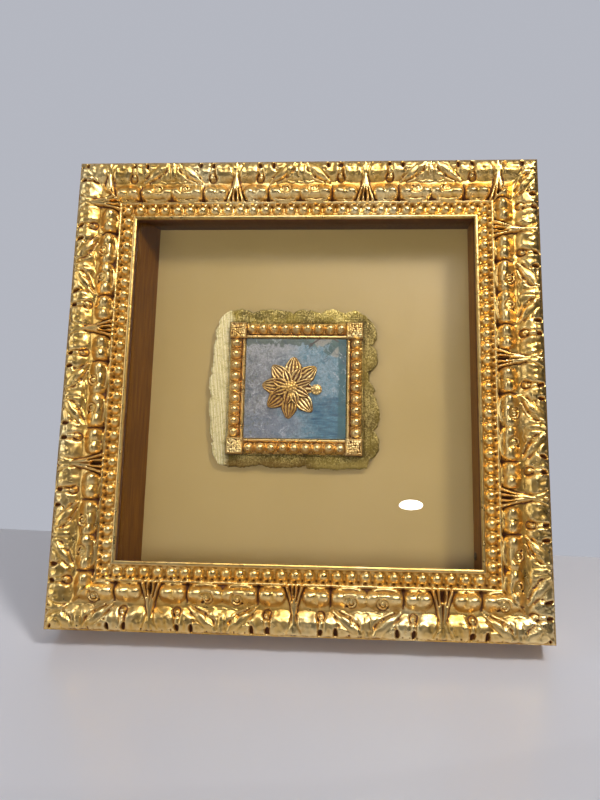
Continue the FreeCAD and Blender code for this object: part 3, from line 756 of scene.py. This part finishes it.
def relief_block(name, grid_x, grid_y, grid_z, back_y, material, cavity=None):
    """A closed piece: a grid of front points in mm, straight sides and a flat back at back_y."""
    front = as_points(grid_x, grid_y, grid_z)
    index = np.arange(len(front)).reshape(grid_x.shape)
    rim = rim_of(index)
    back = front[rim].copy()
    back[:, 1] = back_y
    ring = np.arange(len(rim)) + len(front)
    walls = np.stack([rim, np.roll(rim, -1), np.roll(ring, -1), ring], axis=-1)
    faces = grid_faces(index) + walls.tolist() + [ring.tolist()]
    if cavity is not None:
        cavity = np.concatenate([cavity.reshape(-1), rim_of(cavity)])
    points = np.concatenate([front, back])
    return new_piece(name, points, faces, [material], cavity, sharp=60)


# Cavity from 0 to 1, higher where a point lies below its blurred surroundings; the materials paint
# shade from it.
def hollows(height, size, gain):
    return np.clip(0.5 + (blurred(height, size) - height) * gain, 0, 1)


# hollow -0.14 lightens the painted shade in the beads' hollows
gold_beads = gilding("gilding_beads", 0, -0.02, (0.92, 0.6, 0.19), -0.14)
gold_grain = gilding("gilding_granulated", 0.02, 0.02, (0.92, 0.74, 0.36))


MINI_WIDE = 13
MINI_W = (0, 0.5, 1.4, 9, 9.6, 10.4, 11, 12.3, MINI_WIDE)
MINI_HEIGHT = (2.2, 2.9, 3.1, 3, 1.6, 1.8, 3.6, 3.8, 3)
MINI_BEADS = 9


def mini_rail(side, seed):
    """A strip of round beads on a low moulding, w measured in from its outer edge."""
    rng = np.random.default_rng(seed)
    half = MOUNT_HALF - CORNER
    s, w = np.meshgrid(np.linspace(-half, half, 250), np.linspace(0, MINI_WIDE, 36))
    ground = np.interp(w, MINI_W, MINI_HEIGHT)
    r = Relief(s, w, ground + 0.1 * lattice(s, w, 3, seed))
    pitch = 2 * half / MINI_BEADS
    for k in range(MINI_BEADS):
        at = (k - MINI_BEADS // 2) * pitch + rng.uniform(-0.2, 0.2)
        bar = at + pitch * 0.5
        r.ridge([(bar, 1.8), (bar, 8.6)], 0.8, 4.9, 2.8)
        r.dome(at, 5, 4.75, 4.75, 9.3 + rng.uniform(-0.15, 0.1), 2.8, 0, 2, 0, 0.999)
    x, z = square_place(side, s, w, MOUNT_HALF)
    name = "mini_rail_" + side
    place = (x + MOUNT_X, BROCADE_Y - r.h, z + MOUNT_Z)
    item = relief_block(name + "_beads", *place, BROCADE_Y, gold_beads, hollows(r.h, 3, 0.3))
    stands_for(item, name)


def grains(x, z, cell, seed):
    """Rounded grains from 0 to 1, one to each cell of a shaken grid."""
    rng = np.random.default_rng(seed)
    jitter_x, jitter_z = rng.uniform(0.15, 0.85, (2, 64, 64))
    size = rng.uniform(0.55, 0.95, (64, 64))
    best = np.zeros(x.shape)
    ci, cj = np.floor(x / cell).astype(int), np.floor(z / cell).astype(int)
    for di in (-1, 0, 1):
        for dj in (-1, 0, 1):
            i, j = (ci + di) % 64, (cj + dj) % 64
            px = (ci + di + jitter_x[i, j]) * cell
            pz = (cj + dj + jitter_z[i, j]) * cell
            d = np.hypot(x - px, z - pz) / (cell * size[i, j])
            best = np.maximum(best, np.sqrt(np.clip(1 - d * d, 0, 1)))
    return best


def mini_corner(name, hand_x, hand_z, seed):
    """A granulated corner block with a bevelled edge, a little larger than the CAD's block."""
    side = np.linspace(0, CORNER, 46)
    x, z = np.meshgrid(side, side)
    edge = np.minimum(np.minimum(x, CORNER - x), np.minimum(z, CORNER - z))
    bevel = np.interp(edge, [0, 0.3, 1.3, 2.2, 3], [4.2, 5.4, 6.3, 5.9, 6.2])
    grain = grains(x + seed, z + 2 * seed, 1.7, seed)
    lump = 0.4 * ease(0, 6.8, edge) + 0.2 * lattice(x, z, 4, seed)
    height = bevel + lump + 0.9 + 1.7 * (grain - 0.5) * ease(0.4, 1.6, edge)
    # cavity for painted shade between the grains and highlight on them
    cavity = hollows(height, 2, 0.75)
    x, z = (MOUNT_HALF + 0.7 - place * 1.09 for place in (x, z))
    place = (MOUNT_X + hand_x * x, BROCADE_Y - height, MOUNT_Z + hand_z * z)
    item = relief_block(name + "_granulated", *place, BROCADE_Y, gold_grain, cavity)
    stands_for(item, name)


for number, side in enumerate(SIDES):
    mini_rail(side, 101 + 3 * number)
mini_corner("mini_corner_top_left", -1, 1, 5)
mini_corner("mini_corner_top_right", 1, 1, 6)
mini_corner("mini_corner_bottom_left", -1, -1, 7)
mini_corner("mini_corner_bottom_right", 1, -1, 8)

# ---- brocade and silk


def scallops(position, cusps, rise):
    """How far an edge bulges between its cusps, each lobe a flat round arc."""
    out = np.zeros(np.shape(position))
    for a, b in zip(cusps[:-1], cusps[1:]):
        t = (position - a) / (b - a)
        high = rise * min(1, ((b - a) / 22) ** 0.6)
        arc = high * np.clip(4 * t * (1 - t), 0, 1) ** 0.45
        out = np.where((t > 0) & (t < 1), arc, out)
    return out


CLOTH_X = MOUNT_X - 2  # the cloth lies a little to the left of the mount's middle


def swell(flat, low, long):
    """A half wave from 0 up to 1 and back to 0, over a length that starts at low."""
    return np.sin(np.clip((flat - low) / long, 0, 1) * math.pi)


def brocade_piece():
    """The torn cloth: ragged scalloped edges, knotted threads outside the mini rails."""
    u, v = np.meshgrid(np.linspace(0, 1, 250), np.linspace(0, 1, 238))
    flat_x = (u - 0.5) * 146
    flat_z = (v - 0.5) * 138
    left = -65.5 - 6.5 * swell(flat_z, -69, 138) ** 0.7
    left = left - scallops(flat_z, (-70, -50, -31, -9, 13, 23, 31, 46, 60, 70), 3)
    right = 67.4 + 2 * swell(flat_z, -66, 70)
    right = right + scallops(flat_z, (-60, -35, -3, 8, 17, 41, 69), 6.4)
    right = right - 4 * np.exp(-(((flat_z - 12) / 7) ** 2))
    top = 67 + scallops(flat_x, (-71, -41, -2, 24, 47, 71), 5)
    low = -66 - scallops(flat_x, (-72, -31, 14), 4.2) - np.where(flat_x > 14, 4.4, 0)
    ragged = 0.6 * lattice(flat_x, flat_z, 1.5, 3) + 0.7 * lattice(flat_x, flat_z, 4, 4)
    x = left * (1 - u) + right * u + ragged * np.abs(2 * u - 1) ** 6
    z = low * (1 - v) + top * v + ragged * np.abs(2 * v - 1) ** 6
    corner = 7 * np.abs(2 * u - 1) ** 9 * np.abs(2 * v - 1) ** 9
    corner = np.where(u < 0.5, 0.2, np.where(v < 0.5, 0.25, 1)) * corner
    x = x - np.sign(u - 0.5) * corner
    z = z - np.sign(v - 0.5) * corner
    threads = 0.1 * (0.5 + 0.5 * np.cos(x * FULL / 1.3 + 1.6 * lattice(x, z, 5, 8)))
    on_left = ease(-57, -61, x)
    knots = (0.42 - 0.26 * on_left) * grains(x + 90, z + 90, 1.5, 17)
    rim = ease(0, 0.012, np.minimum(np.minimum(u, 1 - u), np.minimum(v, 1 - v)))
    outside = np.maximum(np.abs(x - 2) - 60, np.abs(z) - 59.5)
    shown = ease(0, 1.2, outside)
    puff = 0.3 * lattice(x, z, 7, 12) + 0.35
    height = 0.05 + rim * shown * (threads * on_left + knots + puff * 0.8)
    y = BROCADE_Y - height * 0.85
    # cavity for the painted shade between knots and threads
    cavity = hollows(height, 2, 1.6)
    cloth = brocade_material()
    place = (x + CLOTH_X, y, z + MOUNT_Z)
    item = relief_block("brocade_border_cloth", *place, BROCADE_BACK, cloth, cavity)
    stands_for(item, "brocade_border")


def brocade_material():
    """Olive metal thread with gold sparks; bare thread at the left, brown ground below, and painted
    shade in the hollows between knots and threads.
    """
    s = Shader("metal_thread_brocade")
    x = s.axis("X")
    z = s.axis("Z")
    sparkle = s.cells(620)
    brighter = s.times(s.span(s.noise(45, 2), 0.4, 0.62), 0.1)
    glitter = s.span(s.plus(s.noise(760, 3, 0.85), brighter), 0.545, 0.64)
    olive = s.mix(s.span(s.noise(55, 3), 0.38, 0.62), (0.1, 0.066, 0.004), (0.23, 0.158, 0.014))
    grain = s.mix(glitter, olive, (0.76, 0.58, 0.2), 0.72)
    stripes = s.wave(240, s.scaled((1, 1, 0.05)), 3)
    thread = s.mix(s.span(stripes, 0.25, 0.75), (0.54, 0.4, 0.12), (0.86, 0.76, 0.48))
    thread = s.mix(s.times(s.span(sparkle, 0.35, 0.1), 0.4), thread, (0.45, 0.33, 0.04))
    to_left = s.span(s.plus(x, s.noise(120, 2), 0.01), -0.056, -0.062)
    to_low = s.span(s.plus(z, s.noise(80, 2), 0.01), 0.151, 0.144)
    to_right = s.span(x, 0.006, 0.018)
    under = s.mix(to_right, (0.15, 0.08, 0.006), (0.27, 0.185, 0.035))
    under = s.mix(glitter, under, (0.55, 0.4, 0.13), 0.35)
    far_right = s.times(s.span(x, 0.045, 0.054), 0.4)
    grain = s.mix(far_right, grain, (0.135, 0.08, 0.01))
    colour = s.mix(to_low, grain, under)
    worn = s.times(s.span(s.noise(300, 4, 0.8), 0.52, 0.62), 0.55)
    thread = s.mix(worn, thread, (0.36, 0.27, 0.06))
    colour = s.mix(to_left, colour, thread)
    # painted shade: darker where the cavity is high, between knots and threads
    dark = s.span(s.attribute("cavity"), 0.58, 0.85)
    colour = s.mix(dark, colour, (0.07, 0.045, 0.008), 0.6)
    weave = s.bump(s.noise(1300, 2, 0.6), 0.5, 0.0003)
    lay = s.bump(stripes, 0.4, 0.0004, weave)
    return s.surface(colour, Metallic=0.55, Roughness=0.42, Normal=lay)


brocade_piece()


def silk_material():
    """Painted silk: lavender at the left, sky at the top, a streaked sea low on the right, and painted
    shadow of the mini rails along its top and right edges.
    """
    s = Shader("painted_silk")
    x = s.minus(s.axis("X"), MOUNT_X * MM)
    z = s.minus(s.axis("Z"), MOUNT_Z * MM)
    wander = s.times(s.minus(s.noise(70, 5, 0.65), 0.5), 0.05)
    small = s.times(s.minus(s.noise(260, 3), 0.5), 0.008)
    xn, zn = s.plus(x, wander), s.plus(z, wander)
    brush = s.noise(150, 5, 0.7, bend=1.2)
    lilac = s.mix(s.span(brush, 0.36, 0.64), (0.15, 0.148, 0.155), (0.375, 0.355, 0.345))
    sky = s.mix(s.span(brush, 0.36, 0.64), (0.1, 0.215, 0.265), (0.3, 0.375, 0.41))
    colour = s.mix(s.span(xn, -0.022, 0.01), lilac, sky)
    pale = s.times(s.span(zn, 0.018, 0.034), s.span(xn, 0.004, -0.008))
    colour = s.mix(pale, colour, (0.4, 0.385, 0.37), 0.8)
    streak = s.noise(1, 5, 0.75, s.scaled((45, 45, 420)))
    sea = s.mix(s.span(streak, 0.38, 0.62), (0.008, 0.065, 0.125), (0.115, 0.235, 0.29))
    low_right = s.times(s.span(xn, 0.002, 0.018), s.span(zn, -0.002, -0.016))
    colour = s.mix(low_right, colour, sea)
    lower_left = s.times(s.span(xn, 0.008, -0.006), s.span(zn, -0.016, -0.032))
    colour = s.mix(lower_left, colour, (0.125, 0.15, 0.205), 0.6)
    specks = s.span(s.noise(430, 5, 0.75), 0.53, 0.6)
    edge = s.span(xn, -0.014, -0.038)
    olive = s.mix(s.noise(240, 2), (0.085, 0.085, 0.035), (0.17, 0.165, 0.1))
    colour = s.mix(s.times(specks, s.span(edge, 0, 1, 0.12, 0.85)), colour, olive)
    # painted shadow of the top mini rail along the silk's top edge, with a wavy edge
    scallop = s.wave(62, s.scaled((1, 1, 0)), 0.6)
    line = s.plus(s.plus(z, small, 1.6), scallop, 0.0017)
    band = s.span(line, 0.0392, 0.0402)
    colour = s.mix(band, colour, (0.075, 0.095, 0.06), 0.85)
    place = s.node("VectorMath", {0: s.place, 1: (0, 0, 0.004)}, operation="ADD").outputs[0]
    plates = s.cells(46, place)
    cracks = s.cells(46, place, "DISTANCE_TO_EDGE")
    rise = s.plus(zn, x, 0.55)
    top_right = s.times(s.span(xn, 0, 0.004), s.span(rise, 0.046, 0.049))
    moss = s.mix(s.span(plates, 0.25, 0.65), (0.05, 0.095, 0.075), (0.125, 0.185, 0.15))
    moss = s.mix(s.span(s.noise(62, 1), 0.56, 0.6), moss, (0.36, 0.32, 0.25))
    moss = s.mix(s.span(cracks, 0.05, 0.02), moss, (0.075, 0.04, 0.022))
    colour = s.mix(top_right, colour, moss, 0.92)
    # painted shadow of the right mini rail along the silk's right edge
    right = s.span(s.plus(x, small, 0.3), 0.0368, 0.0382)
    colour = s.mix(right, colour, (0.035, 0.1, 0.1), 0.85)
    cloud = s.span(s.noise(95, 5, 0.75, bend=0.8), 0.54, 0.64)
    colour = s.mix(cloud, colour, (0.06, 0.08, 0.105), 0.55)
    chalk = s.span(s.noise(130, 5, 0.8, bend=1), 0.56, 0.66)
    chalk = s.times(chalk, s.minus(1, low_right))
    colour = s.mix(chalk, colour, (0.54, 0.54, 0.54), 0.75)
    cloth = s.woven(500, 2600)
    colour = s.mix(s.span(cloth, 0.8, 1.2, 0.45, 0), colour, (0.05, 0.055, 0.065))
    rough = s.bump(cloth, 0.45, 0.0003)
    folds = s.bump(brush, 0.35, 0.0006, rough)
    return s.surface(colour, Roughness=0.55, Sheen_Weight=0.12, Normal=folds)


def silk_piece():
    """The pulled silk: flat at its edge, with slack folds inside."""
    side = np.linspace(-SILK_HALF, SILK_HALF, 120)
    x, z = np.meshgrid(side, side)
    lift = 0.16 * lattice(x, z, 13, 21) + 0.07 * lattice(x * 0.4, z * 1.6, 5, 22)
    pull = ease(SILK_HALF, 40, np.maximum(np.abs(x), np.abs(z)))
    y = SILK_Y + 0.05 - 0.25 * np.clip(lift + 0.1, -0.2, 1) * pull
    place = (x + MOUNT_X, y, z + MOUNT_Z)
    item = relief_block("silk_fragment_cloth", *place, SILK_BACK, silk_material())
    stands_for(item, "silk_fragment")


silk_piece()

# ---- flower


def petal(angle, inner, length, half_width, base, rise, ribs, seed, blunt=0):
    """Points, faces and cavity of one closed, ribbed petal. base and rise are heights off the silk."""
    t, q = np.meshgrid(np.linspace(0, 1, 30), np.linspace(-1, 1, 21), indexing="ij")
    swelling = np.clip(np.sin(math.pi * np.clip(t * 0.9 + 0.06, 0, 1)) ** 0.72, 0.02, 1)
    tip = np.clip((1 - t) / 0.38, 0, 1) ** (0.72 - 0.3 * blunt)
    wide = np.where(t > 0.62, half_width * tip * 0.985 + 0.15, half_width * swelling)
    wide = wide * (1 + 0.05 * lattice(t * 9, q * 2, 1.3, seed))
    out = inner + t * (length - inner)
    fan = 0.5 + 0.5 * np.cos(q * math.pi * ribs)
    arch = rise * np.sin(math.pi * (0.18 + 0.72 * t)) ** 0.8
    cup = 0.55 * q**2 * np.sin(math.pi * t)
    ribbed = 1.05 * fan * ease(0.02, 0.25, t) * (1 - ease(0.93, 1, t))
    beaded = 0.08 * np.cos(t * 34) * ease(0.2, 0.5, t) + 0.2 * lattice(t * 20, q * 5, 1, seed)
    height = base + arch + cup + ribbed + beaded
    edge = 1 - ease(0.86, 1, np.abs(q)) * 0.5
    height = height * edge + base * (1 - edge)
    cos, sin = math.cos(angle), math.sin(angle)
    side = q * wide
    x = FLOWER_X + out * cos - side * sin
    z = FLOWER_Z + out * sin + side * cos
    under = np.maximum(height - 1.1, base - 0.4)
    points = [as_points(x, SILK_Y - up, z) for up in (height, under)]
    index = np.arange(t.size).reshape(t.shape)
    rim = rim_of(index)
    turned = np.roll(rim, -1)
    walls = np.stack([rim, turned, turned + t.size, rim + t.size], axis=-1)
    faces = grid_faces(index) + grid_faces(index[::-1] + t.size) + walls.tolist()
    # cavity: painted shade between the ribs and highlight on them, through the gilding
    hollow = 0.86 - 0.58 * fan - 0.03 * np.cos(t * 34) + 0.12 * lattice(x, z, 1.2, seed)
    return np.concatenate(points), faces, np.tile(hollow.reshape(-1), 2)


def on_circle(radius, angle):
    """A place about the flower's middle."""
    return FLOWER_X + radius * math.cos(angle), FLOWER_Z + radius * math.sin(angle)


def ball(x, z, height, radius, squash=0.8):
    """Points, faces and cavity of a flattened bead whose middle is at a height off the silk."""
    rings, sectors = 9, 14
    polar, turn = np.meshgrid(
        math.pi * np.arange(rings + 1) / rings, FULL * np.arange(sectors) / sectors, indexing="ij"
    )
    wide = radius * np.sin(polar)
    up = np.cos(polar)
    y = SILK_Y - height - radius * squash * up
    made = as_points(x + wide * np.cos(turn), y, z + wide * np.sin(turn))
    index = np.arange(up.size).reshape(up.shape)
    faces = grid_faces(np.column_stack([index, index[:, 0]]))
    # cavity: low on the bead's top and high underneath, which paints a highlight on top and shade
    # below
    return made, faces, np.clip(0.62 - 0.36 * up, 0.2, 1).reshape(-1)


def joined(name, parts, replaced):
    """One gilt piece made of several closed parts."""
    faces, shift = [], 0
    for points, over, _ in parts:
        faces += [[k + shift for k in face] for face in over]
        shift += len(points)
    points, _, cavity = zip(*parts)
    points, cavity = np.concatenate(points), np.concatenate(cavity)
    item = new_piece(name, points, faces, [gold_flower], cavity, welded=True)
    stands_for(item, replaced)


# hollow 0.1 deepens the painted shade in the filigree
gold_flower = gilding("gilt_filigree", -0.02, 0.06, (0.84, 0.66, 0.33), 0.1)

# outer petals, anticlockwise from the right; the first ends in a round flower head
first = math.radians(-4.5)
head = on_circle(22.2, first)
outer = [petal(first, 4.5, 20.5, 4.6, 0.2, 0.9, 2, 30), ball(*head, 0.9, 4.9, 0.42)]
for bead in range(9):
    around = FULL * bead / 9
    at_x, at_z = head[0] + 3.7 * math.cos(around), head[1] + 3.7 * math.sin(around)
    outer.append(ball(at_x, at_z, 1.9, 1.15))
outer.append(ball(*head, 2.6, 1.7))
for k, length in enumerate((28.6, 27.6, 26.2, 26, 26.6, 28, 28.4), 1):
    turn = math.radians(-4.5 + 45 * k)
    wide, base = 7.1 + 0.3 * (k % 3), 0.2 + 0.12 * (k % 2)
    outer.append(petal(turn, 4.5, length, wide, base, 0.9, 5, 30 + k, 0.3))
joined("flower_outer_filigree", outer, "flower_outer_petals")

# inner petals: direction, length, half width, height off the silk
INNER_PETALS = (
    (18, 18.5, 3.6, 2.4), (-27, 17, 4.6, 2), (-70, 16, 4.4, 2.1), (-104, 15.5, 4.8, 2.2),
    (-160, 16.5, 4.6, 2), (160, 17, 4.8, 2.1), (112, 16.5, 4.6, 2), (64, 18, 5, 2.2),
)
inner = []
for k, (degrees, length, wide, lift) in enumerate(INNER_PETALS):
    inner.append(petal(math.radians(degrees), 2, length, wide, lift, 0.9, 3, 50 + k, 0.5))
joined("flower_inner_filigree", inner, "flower_inner_petals")

# the knot: rings of beads over one broad dome; count, radius, height and size of each ring
KNOT_RINGS = ((1, 0, 5.8, 1.9), (6, 2.6, 5, 1.55), (10, 4.6, 4.1, 1.35))
knot = []
knot_rng = np.random.default_rng(9)
for ring, (count, radius, height, size) in enumerate(KNOT_RINGS):
    for k in range(count):
        place = on_circle(radius + knot_rng.uniform(-0.2, 0.2), FULL * k / count + 0.4 * ring)
        up = height + knot_rng.uniform(-0.2, 0.2)
        knot.append(ball(*place, up, size * knot_rng.uniform(0.9, 1.08)))
knot.append(ball(FLOWER_X, FLOWER_Z, 3.6, 4.9, 0.45))
joined("flower_knot_granulated", knot, "flower_knot")

# ---- CAD pieces that stay


def dress(material, *names):
    """Gives CAD pieces a better material."""
    for name in names:
        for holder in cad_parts[name].material_slots:
            holder.material = material


def glass_material():
    """Glass that lets shadow and diffuse rays straight through."""
    s = Shader("picture_glass")
    clear = s.node("BsdfTransparent", {"Color": (0.985, 0.99, 0.985)})
    values = {"Base Color": (1, 1, 1), "Roughness": 0, "IOR": 1.47, "Transmission Weight": 1}
    glass = s.node("BsdfPrincipled", values)
    path = s.node("LightPath").outputs
    through = s.math("MAXIMUM", path["Is Shadow Ray"], path["Is Diffuse Ray"])
    return s.finished(s.node("MixShader", {0: through, 1: glass.outputs[0], 2: clear.outputs[0]}))


def backing_material():
    s = Shader("backing_satin")
    shade = s.mix(s.span(s.noise(9, 3), 0.35, 0.65), (0.418, 0.28, 0.083), (0.45, 0.303, 0.097))
    weave = s.woven(300, 3200)
    colour = s.mix(s.span(weave, 0.7, 1.3, 0.12, 0), shade, (0.25, 0.16, 0.05))
    rough = s.span(s.noise(40, 2), 0.3, 0.7, 0.36, 0.42)
    height = s.bump(weave, 0.18, 0.0002)
    return s.surface(colour, Roughness=rough, Specular_IOR_Level=0.8, Normal=height)


def stained_wood(name, depth):
    """Brown stain over wood. depth scales the red and green of the stain; below 1 the copy is darker,
    as painted shade.
    """
    s = Shader(name)

    def stain(red, green, blue):
        return (red * depth, green * depth, blue)

    grain = s.noise(1, 5, 0.65, s.scaled((420, 420, 26)))
    patch = s.noise(30, 3)
    colour = s.mix(s.span(grain, 0.3, 0.7), stain(0.12, 0.038, 0.003), stain(0.27, 0.102, 0.006))
    colour = s.mix(s.span(patch, 0.4, 0.75, 0, 0.5), colour, stain(0.16, 0.056, 0.004))
    height = s.bump(grain, 0.2, 0.0003)
    return s.surface(colour, Roughness=0.42, Specular_IOR_Level=0.25, Normal=height)


def hardboard_material():
    s = Shader("hardboard")
    fibre = s.noise(700, 5, 0.75)
    press = s.cells(520, spread=0.2)
    colour = s.mix(s.span(fibre, 0.3, 0.7), (0.155, 0.085, 0.04), (0.275, 0.165, 0.085))
    colour = s.mix(s.span(s.noise(14, 4), 0.45, 0.7, 0, 0.35), colour, (0.12, 0.065, 0.03))
    height = s.bump(s.plus(fibre, press), 0.3, 0.0003)
    return s.surface(colour, Roughness=0.55, Normal=height)


def card_material(name, pale, dark):
    s = Shader(name)
    fibre = s.noise(500, 4, 0.7)
    colour = s.mix(s.span(fibre, 0.3, 0.7), pale, dark)
    return s.surface(colour, Roughness=0.8, Normal=s.bump(fibre, 0.25, 0.0002))


def metal_material(name, colour, stain, rough):
    s = Shader(name)
    brush = s.noise(1, 3, 0.6, s.scaled((1400, 1400, 160)))
    marks = s.noise(70, 5, 0.7)
    tone = s.mix(s.span(marks, 0.48, 0.72), colour, stain)
    roughness = s.span(s.plus(brush, marks), 0.7, 1.3, rough - 0.08, rough + 0.12)
    height = s.bump(brush, 0.12, 0.0001)
    return s.surface(tone, Metallic=1, Roughness=roughness, Normal=height)


def felt_material():
    s = Shader("felt_pad")
    fibre = s.noise(1500, 5, 0.8)
    colour = s.mix(s.span(fibre, 0.3, 0.7), (0.1, 0.075, 0.055), (0.24, 0.19, 0.15))
    pile = s.bump(fibre, 0.7, 0.0005)
    return s.surface(colour, Roughness=0.95, Sheen_Weight=0.5, Normal=pile)


steel = metal_material("zinc_steel", (0.6, 0.6, 0.58), (0.33, 0.31, 0.28), 0.34)
brass = metal_material("brass_plate", (0.78, 0.55, 0.24), (0.42, 0.27, 0.1), 0.3)
dark_screw = metal_material("dark_screw", (0.16, 0.14, 0.12), (0.3, 0.25, 0.19), 0.36)
dress(glass_material(), "glazing")
dress(backing_material(), "backing_panel")
dress(stained_wood("stained_wood", 1), "spacer_bottom", "spacer_right")
# darker copies of the same wood paint shade on the left spacer and, darker still, on the top spacer
dress(stained_wood("stained_wood_left_painted_shade", 0.8), "spacer_left")
dress(stained_wood("stained_wood_painted_shade", 0.35), "spacer_top")
dress(card_material("foam_board", (0.66, 0.64, 0.58), (0.55, 0.53, 0.47)), "filler_board")
mount_card = card_material("mount_card", (0.62, 0.58, 0.5), (0.5, 0.46, 0.38))
dress(mount_card, "float_riser", "fragment_board")
dress(hardboard_material(), "back_board")
dress(steel, "corner_v_nails", "hanger_ring_left", "hanger_ring_right")
dress(steel, "hanger_strap_left", "hanger_strap_right")
dress(brass, *("turn_button_" + side for side in SIDES))
dress(dark_screw, "spacer_screw", "turn_button_screws", "hanger_screws")
dress(felt_material(), "bumper_pads")
